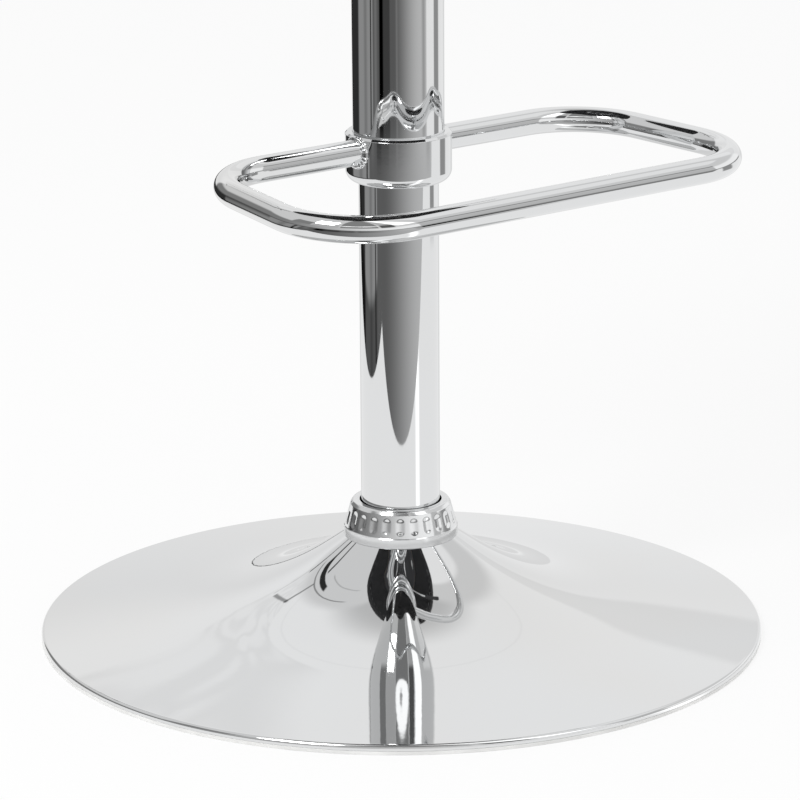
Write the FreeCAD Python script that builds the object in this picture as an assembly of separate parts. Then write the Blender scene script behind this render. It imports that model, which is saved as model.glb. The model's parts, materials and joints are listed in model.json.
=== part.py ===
import FreeCAD, Part
import math
import os

# Swivel bar stool on a chromed trumpet base, millimetres, +Z up.
# The origin is on the floor, on the column's axis. The footrest points to -Y, which is the front.
# The lower tube stands on the base. The upper tube, the footrest and the seat turn and slide on it.
# Heights are those of the seat at rest, in the middle of its travel.

V = FreeCAD.Vector
AXIS = V(0, 0, 1)

# Base shell, a low cone that sweeps up into a steep one
base_radius = 225.0
rim_edge_height = 2.4
rim_roll = 3.0
rim_rise = 0.9
sheet_wall = 1.5
plate_angle = 9.0
cone_angle = 34.5
sweep_radius = 180.0
neck_straight = 6.0
neck_margin = 11.0
neck_height = 62.7
neck_turn_in = 2.5

# Floor ring and the ballast that lies on its lip
ring_foot_width = 7.0
ring_lip_width = 9.0
ring_lip_height = 1.5
ring_bead_width = 2.5
ring_bead_height = 0.6
weight_gap = 1.2
weight_plate = 5.0
weight_boss_margin = 4.0
weight_boss_slope = 26.0
weight_seat_height = 18.0
weight_web = 6.0
recess_gap = 7.0

# Column tubes
post_radius = 24.5
post_wall = 1.5
post_top = 440.0
sleeve_wall = 1.5
sleeve_room = 2.0
running_gap = 0.3
press_gap = 0.05

# Hub that holds the post, and the dimpled ring that hides it
hub_wall = 5.0
hub_top_gap = 0.7
hub_flange_width = 18.4
hub_flange_thickness = 5.0
hub_screw_count = 4
hub_screw_radius = 3.0
hub_screw_length = 12.0
cover_band_height = 6.1
cover_band_proud = 0.1
cover_band_lip = 0.8
cover_cone_height = 13.9
cover_cone_draw = 4.4
cover_top_rise = 2.3
cover_wall = 2.0
cover_bore_gap = 0.9
dimple_count = 24
dimple_radius = 3.4
dimple_depth = 0.9
dimple_length = 4.6

# Foot of the post, its stud, washer and nut
foot_plate = 4.0
foot_rim = 8.0
foot_rim_wall = 4.0
stud_radius = 10.0
stud_past_nut = 0.8
anchor_washer_radius = 22.0
anchor_washer_thickness = 2.5
anchor_nut_flats = 30.0
anchor_nut_height = 5.5

# Thrust bearing under the piston rod
bearing_plate_thickness = 4.0
bearing_washer_radius = 14.0
bearing_washer_thickness = 1.5
ball_radius = 2.0
ball_count = 10
ball_gap = 0.02
cage_thickness = 1.6
rod_collar_width = 4.0
rod_collar_height = 8.0
clip_width = 3.5
clip_thickness = 1.2
clip_groove = 1.0

# Gas spring
rod_radius = 5.0
rod_tip_gap = 2.0
rod_thread_step = 1.0
piston_depth = 68.0
piston_thickness = 10.0
piston_nut_flats = 13.0
piston_nut_height = 5.0
cylinder_radius = 14.0
cylinder_wall = 1.4
cylinder_lap = 97.0
cylinder_plug = 14.0
cylinder_taper = 0.8
cylinder_proud = 0.6
rod_fit = 0.08
button_radius = 3.6
button_fit = 0.08
button_rise = 2.6
button_depth = 18.0
bump_stop_radius = 11.5
bump_stop_height = 12.0

# Guide bush in the top of the post and bush at the bottom of the sleeve
guide_length = 80.0
guide_lap = 18.0
guide_cap = 3.0
sleeve_bush_length = 42.0
sleeve_bush_flange = 2.0

# Footrest collar, above and below the footrest's tube
collar_wall = 4.5
collar_shoulder = 1.4
collar_skirt = 6.0
collar_lip_height = 7.3
collar_bevel = 1.4
collar_lip_gap = 0.5
collar_screw_radius = 3.0
collar_screw_angles = (60.0, 120.0)
screw_socket_flats = 3.0
screw_socket_depth = 2.5

# Footrest loop, one bent tube welded to both sides of the collar
footrest_height = 309.0
footrest_tube_radius = 8.0
footrest_tube_wall = 1.5
footrest_back_width = 295.0
footrest_front_width = 333.4
footrest_reach = 152.7
footrest_fall = 1.95
footrest_bend = 51.3
weld_size = 2.6

# Seat mechanism at the top of the sleeve
mech_bottom = 622.0
mech_sheet = 3.0
mech_half_web = 45.0
mech_flange = 36.0
mech_length = 170.0
mount_hub_height = 34.0
top_collar_height = 16.0
top_collar_wall = 5.0
top_collar_bevel = 3.0
seat_bolt_end = 23.0
seat_bolt_radius = 3.0
seat_bolt_head_radius = 6.0
seat_bolt_head_height = 3.6
seat_washer_radius = 8.0
seat_washer_thickness = 1.4
tee_nut_radius = 10.0
tee_nut_flange = 1.5
tee_nut_barrel = 4.2

# Release lever
lever_pin_radius = 2.5
lever_pin_fit = 0.06
lever_barrel_radius = 5.6
lever_barrel_length = 14.0
lever_barrel_gap = 1.2
lever_head_room = 4.0
lever_nose_radius = 3.0
lever_rod_sink = 0.4
lever_rod_radius = 4.0
lever_drop = 32.0
lever_level_past = 1.0
lever_drop_run = 72.0
lever_reach = 205.0
lever_bend = 24.0
bracket_sheet = 2.5
bracket_base = 1.6
bracket_side_gap = 0.4
bracket_width = 16.0
bracket_place_gap = 3.0
bracket_ear_top = 3.0
pin_head = 1.5
pin_head_radius = 4.0
grip_radius = 8.0
grip_length = 68.0
grip_collar = 1.4
slot_width = 16.0
slot_rise = 7.6

# Seat
board_padding = 4.4
board_thickness = 12.0
dust_cover_thickness = 0.8
dust_cover_inset = 8.0
seat_size = 400.0
seat_corner = 110.0
seat_tuck = 8.0
seat_side_height = 66.0
seat_side_draw = 5.0
seat_crown = 22.0
seat_shoulder = 3.0
cover_thickness = 1.6
cover_hem = 24.0
foam_gap = 0.1
pocket_gap = 0.3
piping_radius = 2.5
piping_offset = 1.7
piping_gap = 0.3


def ring(r_out, r_in, z0, z1):
    """Straight ring or tube about the column's axis."""
    outer = Part.makeCylinder(r_out, z1 - z0, V(0, 0, z0))
    return outer.cut(Part.makeCylinder(r_in, z1 - z0 + 2, V(0, 0, z0 - 1)))


def disc(r, z0, z1, x=0.0, y=0.0):
    """Round plate or pin parallel to the column's axis."""
    return Part.makeCylinder(r, z1 - z0, V(x, y, z0))


def box(x0, x1, y0, y1, z0, z1):
    """Block between two corners."""
    return Part.makeBox(x1 - x0, y1 - y0, z1 - z0, V(x0, y0, z0))


def at(r, z):
    """Point of a turned profile: radius and height."""
    return V(r, 0, z)


def turned(steps):
    """Solid turned about the axis. A step is a point, or two points: an arc's middle and its end."""
    start = steps[0]
    here = start
    edges = []
    for step in steps[1:] + [start]:
        if isinstance(step, tuple):
            edges.append(Part.Arc(here, step[0], step[1]).toShape())
            here = step[1]
        elif here.distanceToPoint(step) > 1e-6:
            edges.append(Part.LineSegment(here, step).toShape())
            here = step
    face = Part.Face(Part.Wire(edges))
    return face.revolve(V(0, 0, 0), AXIS, 360)


def hexagon(flats, z0, z1):
    """Hexagonal prism across its flats."""
    corner = flats / 2 / math.cos(math.pi / 6)
    points = []
    for i in range(7):
        a = math.radians(60 * i)
        points.append(V(corner * math.cos(a), corner * math.sin(a), z0))
    return Part.Face(Part.makePolygon(points)).extrude(V(0, 0, z1 - z0))


def rounded_square(size, corner, z):
    """Closed wire of four straight sides and four quarter arcs."""
    h = size / 2
    c = h - corner
    s = corner * math.sqrt(0.5)
    edges = []
    for k in range(4):
        turn = FreeCAD.Rotation(AXIS, 90.0 * k)
        side = [V(h, -c, z), V(h, c, z)]
        arc = [V(h, c, z), V(c + s, c + s, z), V(c, h, z)]
        side = [turn.multVec(p) for p in side]
        arc = [turn.multVec(p) for p in arc]
        edges.append(Part.LineSegment(side[0], side[1]).toShape())
        edges.append(Part.Arc(arc[0], arc[1], arc[2]).toShape())
    return Part.Wire(edges)


def slab(size, corner, z0, z1):
    """Flat plate with the seat's rounded square outline."""
    return Part.Face(rounded_square(size, corner, z0)).extrude(V(0, 0, z1 - z0))


def save(shape, name):
    """Write one sub-part."""
    shape.exportStep("parts/" + name + ".step")


# Base shell profile: cone line, sweep arc, plate line, rolled rim

neck_radius = post_radius + neck_margin
rim_height = rim_edge_height + rim_roll + rim_rise
plate_slope = math.tan(math.radians(plate_angle))
cone_slope = math.tan(math.radians(cone_angle))
rim_top_radius = base_radius - rim_roll
knee_radius = (neck_height + neck_radius * cone_slope - rim_height - rim_top_radius * plate_slope)
knee_radius = knee_radius / (cone_slope - plate_slope)
knee_height = rim_height + (rim_top_radius - knee_radius) * plate_slope
half_turn = math.radians(cone_angle - plate_angle) / 2
cone_length = (knee_radius - neck_radius) / math.cos(math.radians(cone_angle))
sweep = min(sweep_radius, (cone_length - neck_straight) / math.tan(half_turn))


def shell_line(offset):
    """Corners of the shell's upper line, moved inwards by offset, from the neck to the rim."""
    up_cone = V(math.sin(math.radians(cone_angle)), 0, math.cos(math.radians(cone_angle)))
    up_plate = V(math.sin(math.radians(plate_angle)), 0, math.cos(math.radians(plate_angle)))
    along_cone = V(up_cone.z, 0, -up_cone.x)
    along_plate = V(up_plate.z, 0, -up_plate.x)
    tangent = sweep * math.tan(half_turn)
    knee = at(knee_radius, knee_height)
    sweep_start = knee - along_cone * tangent
    sweep_end = knee + along_plate * tangent
    centre = sweep_start + up_cone * sweep
    reach = sweep + offset
    middle = (up_cone + up_plate).normalize()
    return (at(neck_radius, neck_height) - up_cone * offset, centre - up_cone * reach,
            centre - middle * reach, centre - up_plate * reach,
            at(rim_top_radius, rim_height) - up_plate * offset)


def line_height(line, r):
    """Height of the plate stretch of such a line at radius r."""
    return line[4].z + (line[4].x - r) * plate_slope


def base_plate():
    """Spun shell: neck, steep cone, sweep, low cone and a rolled edge."""
    top = shell_line(0.0)
    low = shell_line(sheet_wall)
    roll = at(base_radius - rim_roll * (1 - math.sqrt(0.5)), rim_height - rim_roll * (1 - math.sqrt(0.5)))
    wall_in = base_radius - sheet_wall
    inner_turn = at(wall_in, low[4].z - (wall_in - low[4].x))
    neck_in = neck_radius - neck_turn_in
    return turned([
        at(neck_in, neck_height), top[0], top[1], (top[2], top[3]), top[4],
        (roll, at(base_radius, rim_height - rim_roll)), at(base_radius, rim_edge_height),
        at(wall_in, rim_edge_height), inner_turn, low[4], low[3], (low[2], low[1]), low[0],
        at(neck_in, low[0].z)])


weight_radius = base_radius - ring_foot_width - weight_gap
stud_hole = stud_radius + running_gap
post_seat = weight_seat_height
web_bottom = weight_seat_height - weight_web
recess_radius = anchor_washer_radius + recess_gap
hub_bore = post_radius + press_gap
hub_outer = hub_bore + hub_wall
hub_top = neck_height - hub_top_gap
hub_flange_radius = hub_outer + hub_flange_width
hub_flange_top = post_seat + hub_flange_thickness
hub_screw_circle = (hub_outer + hub_flange_radius) / 2


def floor_ring():
    """Soft ring under the rolled edge, with a lip under the ballast and a bead inside the shell."""
    lip_in = weight_radius - ring_lip_width
    step = weight_radius + running_gap
    bead_out = base_radius - sheet_wall - press_gap
    bead_in = bead_out - ring_bead_width
    bead_top = rim_edge_height + ring_bead_height
    return turned([at(lip_in, 0), at(base_radius, 0), at(base_radius, rim_edge_height),
                   at(bead_out, rim_edge_height), at(bead_out, bead_top), at(bead_in, bead_top),
                   at(bead_in, rim_edge_height), at(step, rim_edge_height),
                   at(step, ring_lip_height), at(lip_in, ring_lip_height)])


def base_weight():
    """Cast disc under the shell, with a boss for the column and a recess for the nut."""
    low = shell_line(sheet_wall + weight_gap)
    edge_top = line_height(low, weight_radius)
    plate_top_height = ring_lip_height + weight_plate
    boss_top = hub_flange_radius + weight_boss_margin
    body = turned([
        at(recess_radius, ring_lip_height), at(weight_radius, ring_lip_height),
        at(weight_radius, edge_top),
        at(weight_radius - (plate_top_height - edge_top) / plate_slope, plate_top_height),
        at(boss_top + weight_boss_slope, plate_top_height), at(boss_top, weight_seat_height),
        at(stud_hole, weight_seat_height), at(stud_hole, web_bottom), at(recess_radius, web_bottom)])
    for x, y in hub_screw_places():
        body = body.cut(disc(hub_screw_radius, hub_flange_top - hub_screw_length, post_seat + 1, x, y))
    return body


# Column foot

foot_top = post_seat + foot_plate + foot_rim
plug_radius = post_radius - post_wall - press_gap
washer_top = web_bottom
nut_top = washer_top - anchor_washer_thickness
stud_end_height = nut_top - anchor_nut_height - stud_past_nut


def hub_screw_places():
    """Centres of the screws that hold the hub on the ballast."""
    for i in range(hub_screw_count):
        a = math.radians(45 + 360 * i / hub_screw_count)
        yield hub_screw_circle * math.cos(a), hub_screw_circle * math.sin(a)


def hub_socket():
    """Flanged sleeve round the foot of the post."""
    body = turned([at(hub_bore, post_seat), at(hub_flange_radius, post_seat),
                   at(hub_flange_radius, hub_flange_top), at(hub_outer, hub_flange_top),
                   at(hub_outer, hub_top), at(hub_bore, hub_top)])
    for x, y in hub_screw_places():
        body = body.cut(disc(hub_screw_radius + running_gap, post_seat - 1, hub_flange_top + 1, x, y))
    return body


def hub_screws():
    """Button-head screws, one solid each."""
    screws = []
    for x, y in hub_screw_places():
        shank = disc(hub_screw_radius, hub_flange_top - hub_screw_length, hub_flange_top, x, y)
        head = Part.makeCone(hub_screw_radius * 1.9, hub_screw_radius * 1.2, hub_screw_radius,
                             V(x, y, hub_flange_top))
        socket = disc(hub_screw_radius * 0.55, hub_flange_top + hub_screw_radius * 0.3,
                      hub_flange_top + hub_screw_radius + 1, x, y)
        screws.append(shank.fuse(head).removeSplitter().cut(socket))
    return Part.makeCompound(screws)


cover_band_radius = neck_radius + cover_band_proud
cover_cone_top_radius = cover_band_radius - cover_cone_draw


def ring_cover():
    """Turned cover at the neck: plain band, dimpled cone, rounded top with the post's hole."""
    z0 = neck_height
    z1 = z0 + cover_band_height
    z2 = z1 + cover_cone_height
    z3 = z2 + cover_top_rise
    bore = post_radius + cover_bore_gap
    cone_foot = cover_band_radius - cover_band_lip
    top_in = bore + cover_top_rise * 0.4
    mid = at((cover_cone_top_radius + top_in) / 2 + 1.2, z2 + cover_top_rise * 0.8)
    w = cover_wall
    shell = turned([
        at(cover_band_radius, z0), (at(cover_band_radius + 0.3, z0 + cover_band_height / 2),
                                    at(cone_foot, z1)),
        at(cover_cone_top_radius, z2), (mid, at(top_in, z3)), at(bore, z3 - 0.6),
        at(bore, z2 - w * 0.6), at(cover_cone_top_radius - w, z2 - w * 0.6),
        at(cone_foot - w, z1), at(cone_foot - w, z0)])
    lean = V(cover_cone_top_radius - cone_foot, 0, cover_cone_height)
    foot = at(cone_foot, z1)
    out = V(lean.z, 0, -lean.x).normalize()
    along = V(lean.x, lean.y, lean.z).normalize()
    middle = foot + lean * 0.5 + out * (dimple_radius - dimple_depth)
    low = middle - along * (dimple_length / 2)
    high = middle + along * (dimple_length / 2)
    cutter = Part.makeCylinder(dimple_radius, dimple_length, low, along)
    cutter = cutter.fuse([Part.makeSphere(dimple_radius, low), Part.makeSphere(dimple_radius, high)])
    cutter = cutter.removeSplitter()
    cutters = []
    for i in range(dimple_count):
        copy = cutter.copy()
        copy.rotate(V(0, 0, 0), AXIS, 360.0 * (i + 0.5) / dimple_count)
        cutters.append(copy)
    return shell.cut(cutters)


def post_foot():
    """Cup welded in the end of the post, with the stud that passes through the ballast."""
    cup_in = plug_radius - foot_rim_wall
    return turned([at(0, stud_end_height), at(stud_radius, stud_end_height), at(stud_radius, post_seat),
                   at(plug_radius, post_seat), at(plug_radius, foot_top), at(cup_in, foot_top),
                   at(cup_in, post_seat + foot_plate), at(0, post_seat + foot_plate)])


def anchor_nut():
    """Thin hexagon nut on the stud."""
    return hexagon(anchor_nut_flats, nut_top - anchor_nut_height, nut_top).cut(
        disc(stud_radius + press_gap, nut_top - anchor_nut_height - 1, nut_top + 1))


# Thrust bearing and piston rod

plate_top = foot_top + bearing_plate_thickness
low_washer_top = plate_top + bearing_washer_thickness
ball_centre = low_washer_top + ball_radius + ball_gap
high_washer_bottom = ball_centre + ball_radius + ball_gap
high_washer_top = high_washer_bottom + bearing_washer_thickness
rod_clear = rod_radius + running_gap
ball_circle = (bearing_washer_radius + rod_clear) / 2
clip_height = foot_top - running_gap - clip_thickness
clip_neck_radius = rod_radius - clip_groove
rod_collar_radius = rod_radius + rod_collar_width
rod_tip_height = post_seat + foot_plate + rod_tip_gap
rod_top = post_top - piston_depth
rod_thread_radius = rod_radius - rod_thread_step


def balls():
    """Bearing balls, one solid each."""
    shapes = []
    for i in range(ball_count):
        a = 2 * math.pi * i / ball_count
        place = V(ball_circle * math.cos(a), ball_circle * math.sin(a), ball_centre)
        shapes.append(Part.makeSphere(ball_radius, place))
    return Part.makeCompound(shapes)


def ball_cage():
    """Flat ring with a pocket for each ball."""
    body = ring(bearing_washer_radius - running_gap, rod_clear, ball_centre - cage_thickness / 2,
                ball_centre + cage_thickness / 2)
    for i in range(ball_count):
        a = 2 * math.pi * i / ball_count
        body = body.cut(disc(ball_radius + 0.15, ball_centre - cage_thickness, ball_centre + cage_thickness,
                             ball_circle * math.cos(a), ball_circle * math.sin(a)))
    return body


def piston_rod():
    """Rod with a collar that stands on the bearing and a neck for the clip."""
    collar_top_height = high_washer_top + rod_collar_height
    neck_z = clip_height - press_gap
    neck_top = clip_height + clip_thickness + press_gap
    nut_end = rod_top + piston_thickness + piston_nut_height
    return turned([at(0, rod_tip_height), at(rod_radius, rod_tip_height), at(rod_radius, neck_z),
                   at(clip_neck_radius, neck_z), at(clip_neck_radius, neck_top),
                   at(rod_radius, neck_top), at(rod_radius, high_washer_top),
                   at(rod_collar_radius, high_washer_top), at(rod_collar_radius, collar_top_height),
                   at(rod_radius, collar_top_height), at(rod_radius, rod_top),
                   at(rod_thread_radius, rod_top), at(rod_thread_radius, nut_end + 1),
                   at(0, nut_end + 1)])


def rod_clip():
    """Open clip in the rod's neck."""
    z1 = clip_height + clip_thickness
    body = ring(rod_radius + clip_width, clip_neck_radius + press_gap, clip_height, z1)
    return body.cut(box(0, rod_radius + clip_width + 1, -clip_neck_radius * 0.6, clip_neck_radius * 0.6,
                        clip_height - 1, z1 + 1))


bore_radius = cylinder_radius - cylinder_wall
collar_stop = high_washer_top + rod_collar_height


def piston_nut():
    """Hexagon nut over the piston."""
    z0 = rod_top + piston_thickness
    return hexagon(piston_nut_flats, z0, z0 + piston_nut_height).cut(
        disc(rod_thread_radius + press_gap, z0 - 1, z0 + piston_nut_height + 1))


# Gas spring, guides and sleeve

sleeve_radius = post_radius + sleeve_room + sleeve_wall
cylinder_bottom = rod_top - cylinder_lap
web_top = mech_bottom + mech_sheet
cylinder_top = web_top + cylinder_proud
pivot_height = web_top + bracket_base + lever_barrel_gap + lever_barrel_radius
button_top = pivot_height - lever_nose_radius - running_gap
plug_top = cylinder_bottom + cylinder_plug
head_bottom = mech_bottom - mount_hub_height


def gas_cylinder():
    """Pressure tube with a closed, tapered head that holds the release button."""
    tip = cylinder_radius - cylinder_taper
    chamber_top = head_bottom - 4
    body = turned([at(cylinder_radius, cylinder_bottom), at(cylinder_radius, head_bottom),
                   at(tip, cylinder_top), at(0, cylinder_top), at(0, chamber_top),
                   at(bore_radius, chamber_top), at(bore_radius, cylinder_bottom)])
    return body.cut(disc(button_radius + button_fit, cylinder_top - button_depth - button_rise - 2,
                         cylinder_top + 1))


def mount_hub():
    """Steel boss with the taper that the cylinder's head is pressed into."""
    tip = cylinder_radius - cylinder_taper * (mech_bottom - head_bottom) / (cylinder_top - head_bottom)
    outer = sleeve_radius - sleeve_wall - press_gap
    return turned([at(cylinder_radius + press_gap, head_bottom), at(outer, head_bottom),
                   at(outer, mech_bottom), at(tip + press_gap, mech_bottom)])


guide_bore = cylinder_radius + running_gap
guide_outer = sleeve_radius - sleeve_wall - running_gap


def guide_bush():
    """Plastic guide in the top of the post that laps over its rim and steadies the sleeve."""
    plug = post_radius - post_wall - press_gap
    lap_in = post_radius + press_gap
    return turned([at(guide_bore, post_top - guide_length), at(plug, post_top - guide_length),
                   at(plug, post_top), at(lap_in, post_top), at(lap_in, post_top - guide_lap),
                   at(guide_outer, post_top - guide_lap), at(guide_outer, post_top + guide_cap - 1),
                   at(guide_outer - 1, post_top + guide_cap), at(guide_bore, post_top + guide_cap)])


collar_radius = sleeve_radius + collar_wall
collar_body_bottom = footrest_height - footrest_tube_radius - collar_skirt
collar_bottom = collar_body_bottom - collar_lip_height
collar_top = footrest_height + footrest_tube_radius + collar_shoulder
sleeve_bottom = collar_body_bottom + sleeve_bush_flange
collar_bore = sleeve_radius + press_gap


def sleeve_bush():
    """Plastic bush between the post and the lower end of the sleeve."""
    bore = post_radius + running_gap
    outer = sleeve_radius - sleeve_wall - press_gap
    top = sleeve_bottom + sleeve_bush_length
    return turned([at(bore, collar_body_bottom), at(sleeve_radius, collar_body_bottom),
                   at(sleeve_radius, sleeve_bottom), at(outer, sleeve_bottom),
                   at(outer, top), at(bore, top)])


def footrest_collar():
    """Collar with a rounded lip that closes on the post, bevelled at the top."""
    lip_bore = post_radius + collar_lip_gap
    s = math.sqrt(0.5)
    reach = collar_radius - lip_bore
    fall = collar_body_bottom - collar_bottom
    lip_mid = at(lip_bore + reach * s, collar_body_bottom - fall * s)
    body = turned([at(lip_bore, collar_bottom), (lip_mid, at(collar_radius, collar_body_bottom)),
                   at(collar_radius, collar_top - collar_bevel), at(collar_radius - collar_bevel, collar_top),
                   at(collar_bore, collar_top), at(collar_bore, collar_body_bottom),
                   at(lip_bore, collar_body_bottom)])
    hole = collar_screw_radius + press_gap
    for angle in collar_screw_angles:
        body = body.cut(radial_pin(hole, sleeve_radius - 2, collar_radius + 2, angle))
    return body


def radial_pin(r, start, end, angle):
    """Pin across the collar at the footrest's height."""
    out = V(math.cos(math.radians(angle)), math.sin(math.radians(angle)), 0)
    return Part.makeCylinder(r, end - start, V(0, 0, footrest_height) + out * start, out)


def collar_screws():
    """Grub screws at the back of the collar, with a socket each."""
    screws = []
    end = collar_radius - 0.3
    for angle in collar_screw_angles:
        body = radial_pin(collar_screw_radius, sleeve_radius + press_gap, end, angle)
        socket = hexagon(screw_socket_flats, 0, screw_socket_depth + 1)
        socket.rotate(V(0, 0, 0), V(0, 1, 0), 90)
        socket.translate(V(end - screw_socket_depth, 0, footrest_height))
        socket.rotate(V(0, 0, 0), AXIS, angle)
        screws.append(body.cut(socket))
    return Part.makeCompound(screws)


# Footrest

def bend(corner, before, after, radius):
    """Tangent arc at a corner of a path: its start, middle and end."""
    a = (before - corner).normalize()
    b = (after - corner).normalize()
    half = math.acos(max(-1.0, min(1.0, a.dot(b)))) / 2
    cut = radius / math.tan(half)
    centre = corner + (a + b).normalize() * (radius / math.sin(half))
    middle = centre + (corner - centre).normalize() * radius
    return corner + a * cut, middle, corner + b * cut


def bent_path(points, radius):
    """Straight runs from point to point, with a tangent arc at each corner."""
    edges = []
    start = points[0]
    for before, corner, after in zip(points, points[1:], points[2:]):
        arc = bend(corner, before, after, radius)
        edges.append(Part.LineSegment(start, arc[0]).toShape())
        edges.append(Part.Arc(*arc).toShape())
        start = arc[2]
    edges.append(Part.LineSegment(start, points[-1]).toShape())
    return Part.Wire(edges)


def footrest_path():
    """Centre line: out from the collar, forward, across the front and back. Its front lies lower."""
    start = collar_radius - collar_wall
    back = footrest_back_width / 2
    front = footrest_front_width / 2
    reach = footrest_reach
    plan = [(-start, 0), (-back, 0), (-front, -reach), (front, -reach), (back, 0), (start, 0)]
    fall = math.tan(math.radians(footrest_fall))
    return bent_path([V(x, y, footrest_height + y * fall) for x, y in plan], footrest_bend)


def swept_rod(path, r):
    """Round bar along a path that starts along X."""
    start = path.Edges[0].valueAt(path.Edges[0].FirstParameter)
    tangent = path.Edges[0].tangentAt(path.Edges[0].FirstParameter)
    circle = Part.Wire([Part.Circle(start, tangent, r).toShape()])
    return path.makePipeShell([circle], True, False)


def collar_blank():
    """Solid cylinder of the collar's outside, for cutting what ends on it."""
    return disc(collar_radius, collar_bottom - 5, collar_top + 5)


def footrest_loop():
    """Bent tube, ends fitted to the collar."""
    path = footrest_path()
    outer = swept_rod(path, footrest_tube_radius)
    inner = swept_rod(path, footrest_tube_radius - footrest_tube_wall)
    return outer.cut(inner).cut(collar_blank())


def footrest_welds():
    """Weld bead round each end of the tube."""
    beads = []
    foot = math.sqrt(collar_radius ** 2 - footrest_tube_radius ** 2)
    for side in (-1, 1):
        x0 = side * (foot - 1.0)
        x1 = side * (collar_radius + weld_size * 0.7)
        low = V(x0, 0, footrest_tube_radius)
        high = V(x0, 0, footrest_tube_radius + weld_size)
        shoulder = V((x0 + x1 * 2) / 3, 0, footrest_tube_radius + weld_size * 0.9)
        tip = V(x1, 0, footrest_tube_radius)
        edges = [Part.LineSegment(tip, low).toShape(), Part.LineSegment(low, high).toShape(),
                 Part.Arc(high, shoulder, tip).toShape()]
        bead = Part.Face(Part.Wire(edges)).revolve(V(0, 0, 0), V(1, 0, 0), 360)
        bead.translate(V(0, 0, footrest_height))
        beads.append(bead.cut(collar_blank()))
    return Part.makeCompound(beads)


# Seat mechanism

mech_top = pivot_height + lever_barrel_radius + lever_head_room
mech_half_length = mech_length / 2
seat_bolt_x = mech_half_web + mech_flange / 2
seat_bolt_y = mech_half_length - seat_bolt_end
lever_pivot_x = cylinder_radius + bracket_place_gap + bracket_width / 2
lever_level_end = mech_half_web + lever_level_past
lever_drop_end = lever_level_end + lever_drop_run
rod_exit_height = pivot_height - lever_barrel_radius + lever_rod_radius - lever_rod_sink
rod_low_height = pivot_height - lever_drop
top_collar_radius = sleeve_radius + top_collar_wall


def seat_bolt_places():
    """Centres of the four bolts under the seat."""
    return [(sx * seat_bolt_x, sy * seat_bolt_y) for sx in (-1, 1) for sy in (-1, 1)]


def mounting_plate():
    """Hat-shaped pressing: web over the sleeve, two walls and two flanges against the seat board."""
    hw = mech_half_web
    t = mech_sheet
    fw = hw + mech_flange
    points = [(-fw, mech_top - t), (-hw, mech_top - t), (-hw, mech_bottom), (hw, mech_bottom),
              (hw, mech_top - t), (fw, mech_top - t), (fw, mech_top), (hw - t, mech_top),
              (hw - t, web_top), (-hw + t, web_top), (-hw + t, mech_top), (-fw, mech_top)]
    wire = Part.makePolygon([V(x, -mech_half_length, z) for x, z in points + points[:1]])
    body = Part.Face(wire).extrude(V(0, mech_length, 0))
    body = body.cut(disc(cylinder_radius + 0.5, mech_bottom - 1, web_top + 1))
    half = slot_width / 2
    low = rod_exit_height - lever_rod_radius - running_gap
    body = body.cut(box(hw - t - 1, hw + 1, -half, half, low, rod_exit_height + slot_rise))
    for x, y in seat_bolt_places():
        body = body.cut(disc(seat_bolt_radius + running_gap, mech_top - t - 1, mech_top + 1, x, y))
    return body


def top_collar():
    """Trim ring at the top of the sleeve, under the mechanism."""
    z0 = mech_bottom - top_collar_height
    b = top_collar_bevel
    return turned([at(sleeve_radius + press_gap, z0), at(top_collar_radius - b, z0),
                   (at(top_collar_radius - b * 0.3, z0 + b * 0.3), at(top_collar_radius, z0 + b)),
                   at(top_collar_radius, mech_bottom), at(sleeve_radius + press_gap, mech_bottom)])


ear_in = lever_barrel_length / 2 + bracket_side_gap
ear_out = ear_in + bracket_sheet


def lever_bracket():
    """Small U bracket that carries the lever's pin."""
    x0 = lever_pivot_x - bracket_width / 2
    x1 = lever_pivot_x + bracket_width / 2
    base = web_top + bracket_base
    top = pivot_height + lever_pin_radius + bracket_ear_top
    body = box(x0, x1, -ear_out, ear_out, web_top, top)
    body = body.cut(box(x0 - 1, x1 + 1, -ear_in, ear_in, base, top + 1))
    return body.cut(Part.makeCylinder(lever_pin_radius + press_gap, 2 * ear_out + 2,
                                      V(lever_pivot_x, -ear_out - 1, pivot_height), V(0, 1, 0)))


def lever_pin():
    """Headed pin through the bracket."""
    half = ear_out + 0.2
    shank = Part.makeCylinder(lever_pin_radius, 2 * half, V(lever_pivot_x, -half, pivot_height), V(0, 1, 0))
    head = Part.makeCylinder(pin_head_radius, pin_head, V(lever_pivot_x, half, pivot_height), V(0, 1, 0))
    tail = Part.makeCylinder(pin_head_radius, pin_head, V(lever_pivot_x, -half - pin_head, pivot_height),
                             V(0, 1, 0))
    return shank.fuse([head, tail]).removeSplitter()


def lever_rod():
    """Lever: barrel on the pin, nose over the button, and a cranked rod out to the side."""
    barrel = Part.makeCylinder(lever_barrel_radius, lever_barrel_length,
                               V(lever_pivot_x, -lever_barrel_length / 2, pivot_height), V(0, 1, 0))
    nose_width = lever_barrel_length * 0.7
    nose = Part.makeCylinder(lever_nose_radius, nose_width, V(0, -nose_width / 2, pivot_height), V(0, 1, 0))
    arm = box(0, lever_pivot_x, -nose_width / 2, nose_width / 2, pivot_height - lever_nose_radius * 0.5,
              pivot_height + lever_nose_radius)
    a = V(lever_pivot_x + 1, 0, rod_exit_height)
    b = V(lever_level_end, 0, rod_exit_height)
    c = V(lever_drop_end, 0, rod_low_height)
    d = V(lever_reach - grip_collar, 0, rod_low_height)
    rod = swept_rod(bent_path([a, b, c, d], lever_bend), lever_rod_radius)
    hole = Part.makeCylinder(lever_pin_radius + lever_pin_fit, lever_barrel_length + 2,
                             V(lever_pivot_x, -lever_barrel_length / 2 - 1, pivot_height), V(0, 1, 0))
    return barrel.fuse([nose, arm, rod]).removeSplitter().cut(hole)


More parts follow.
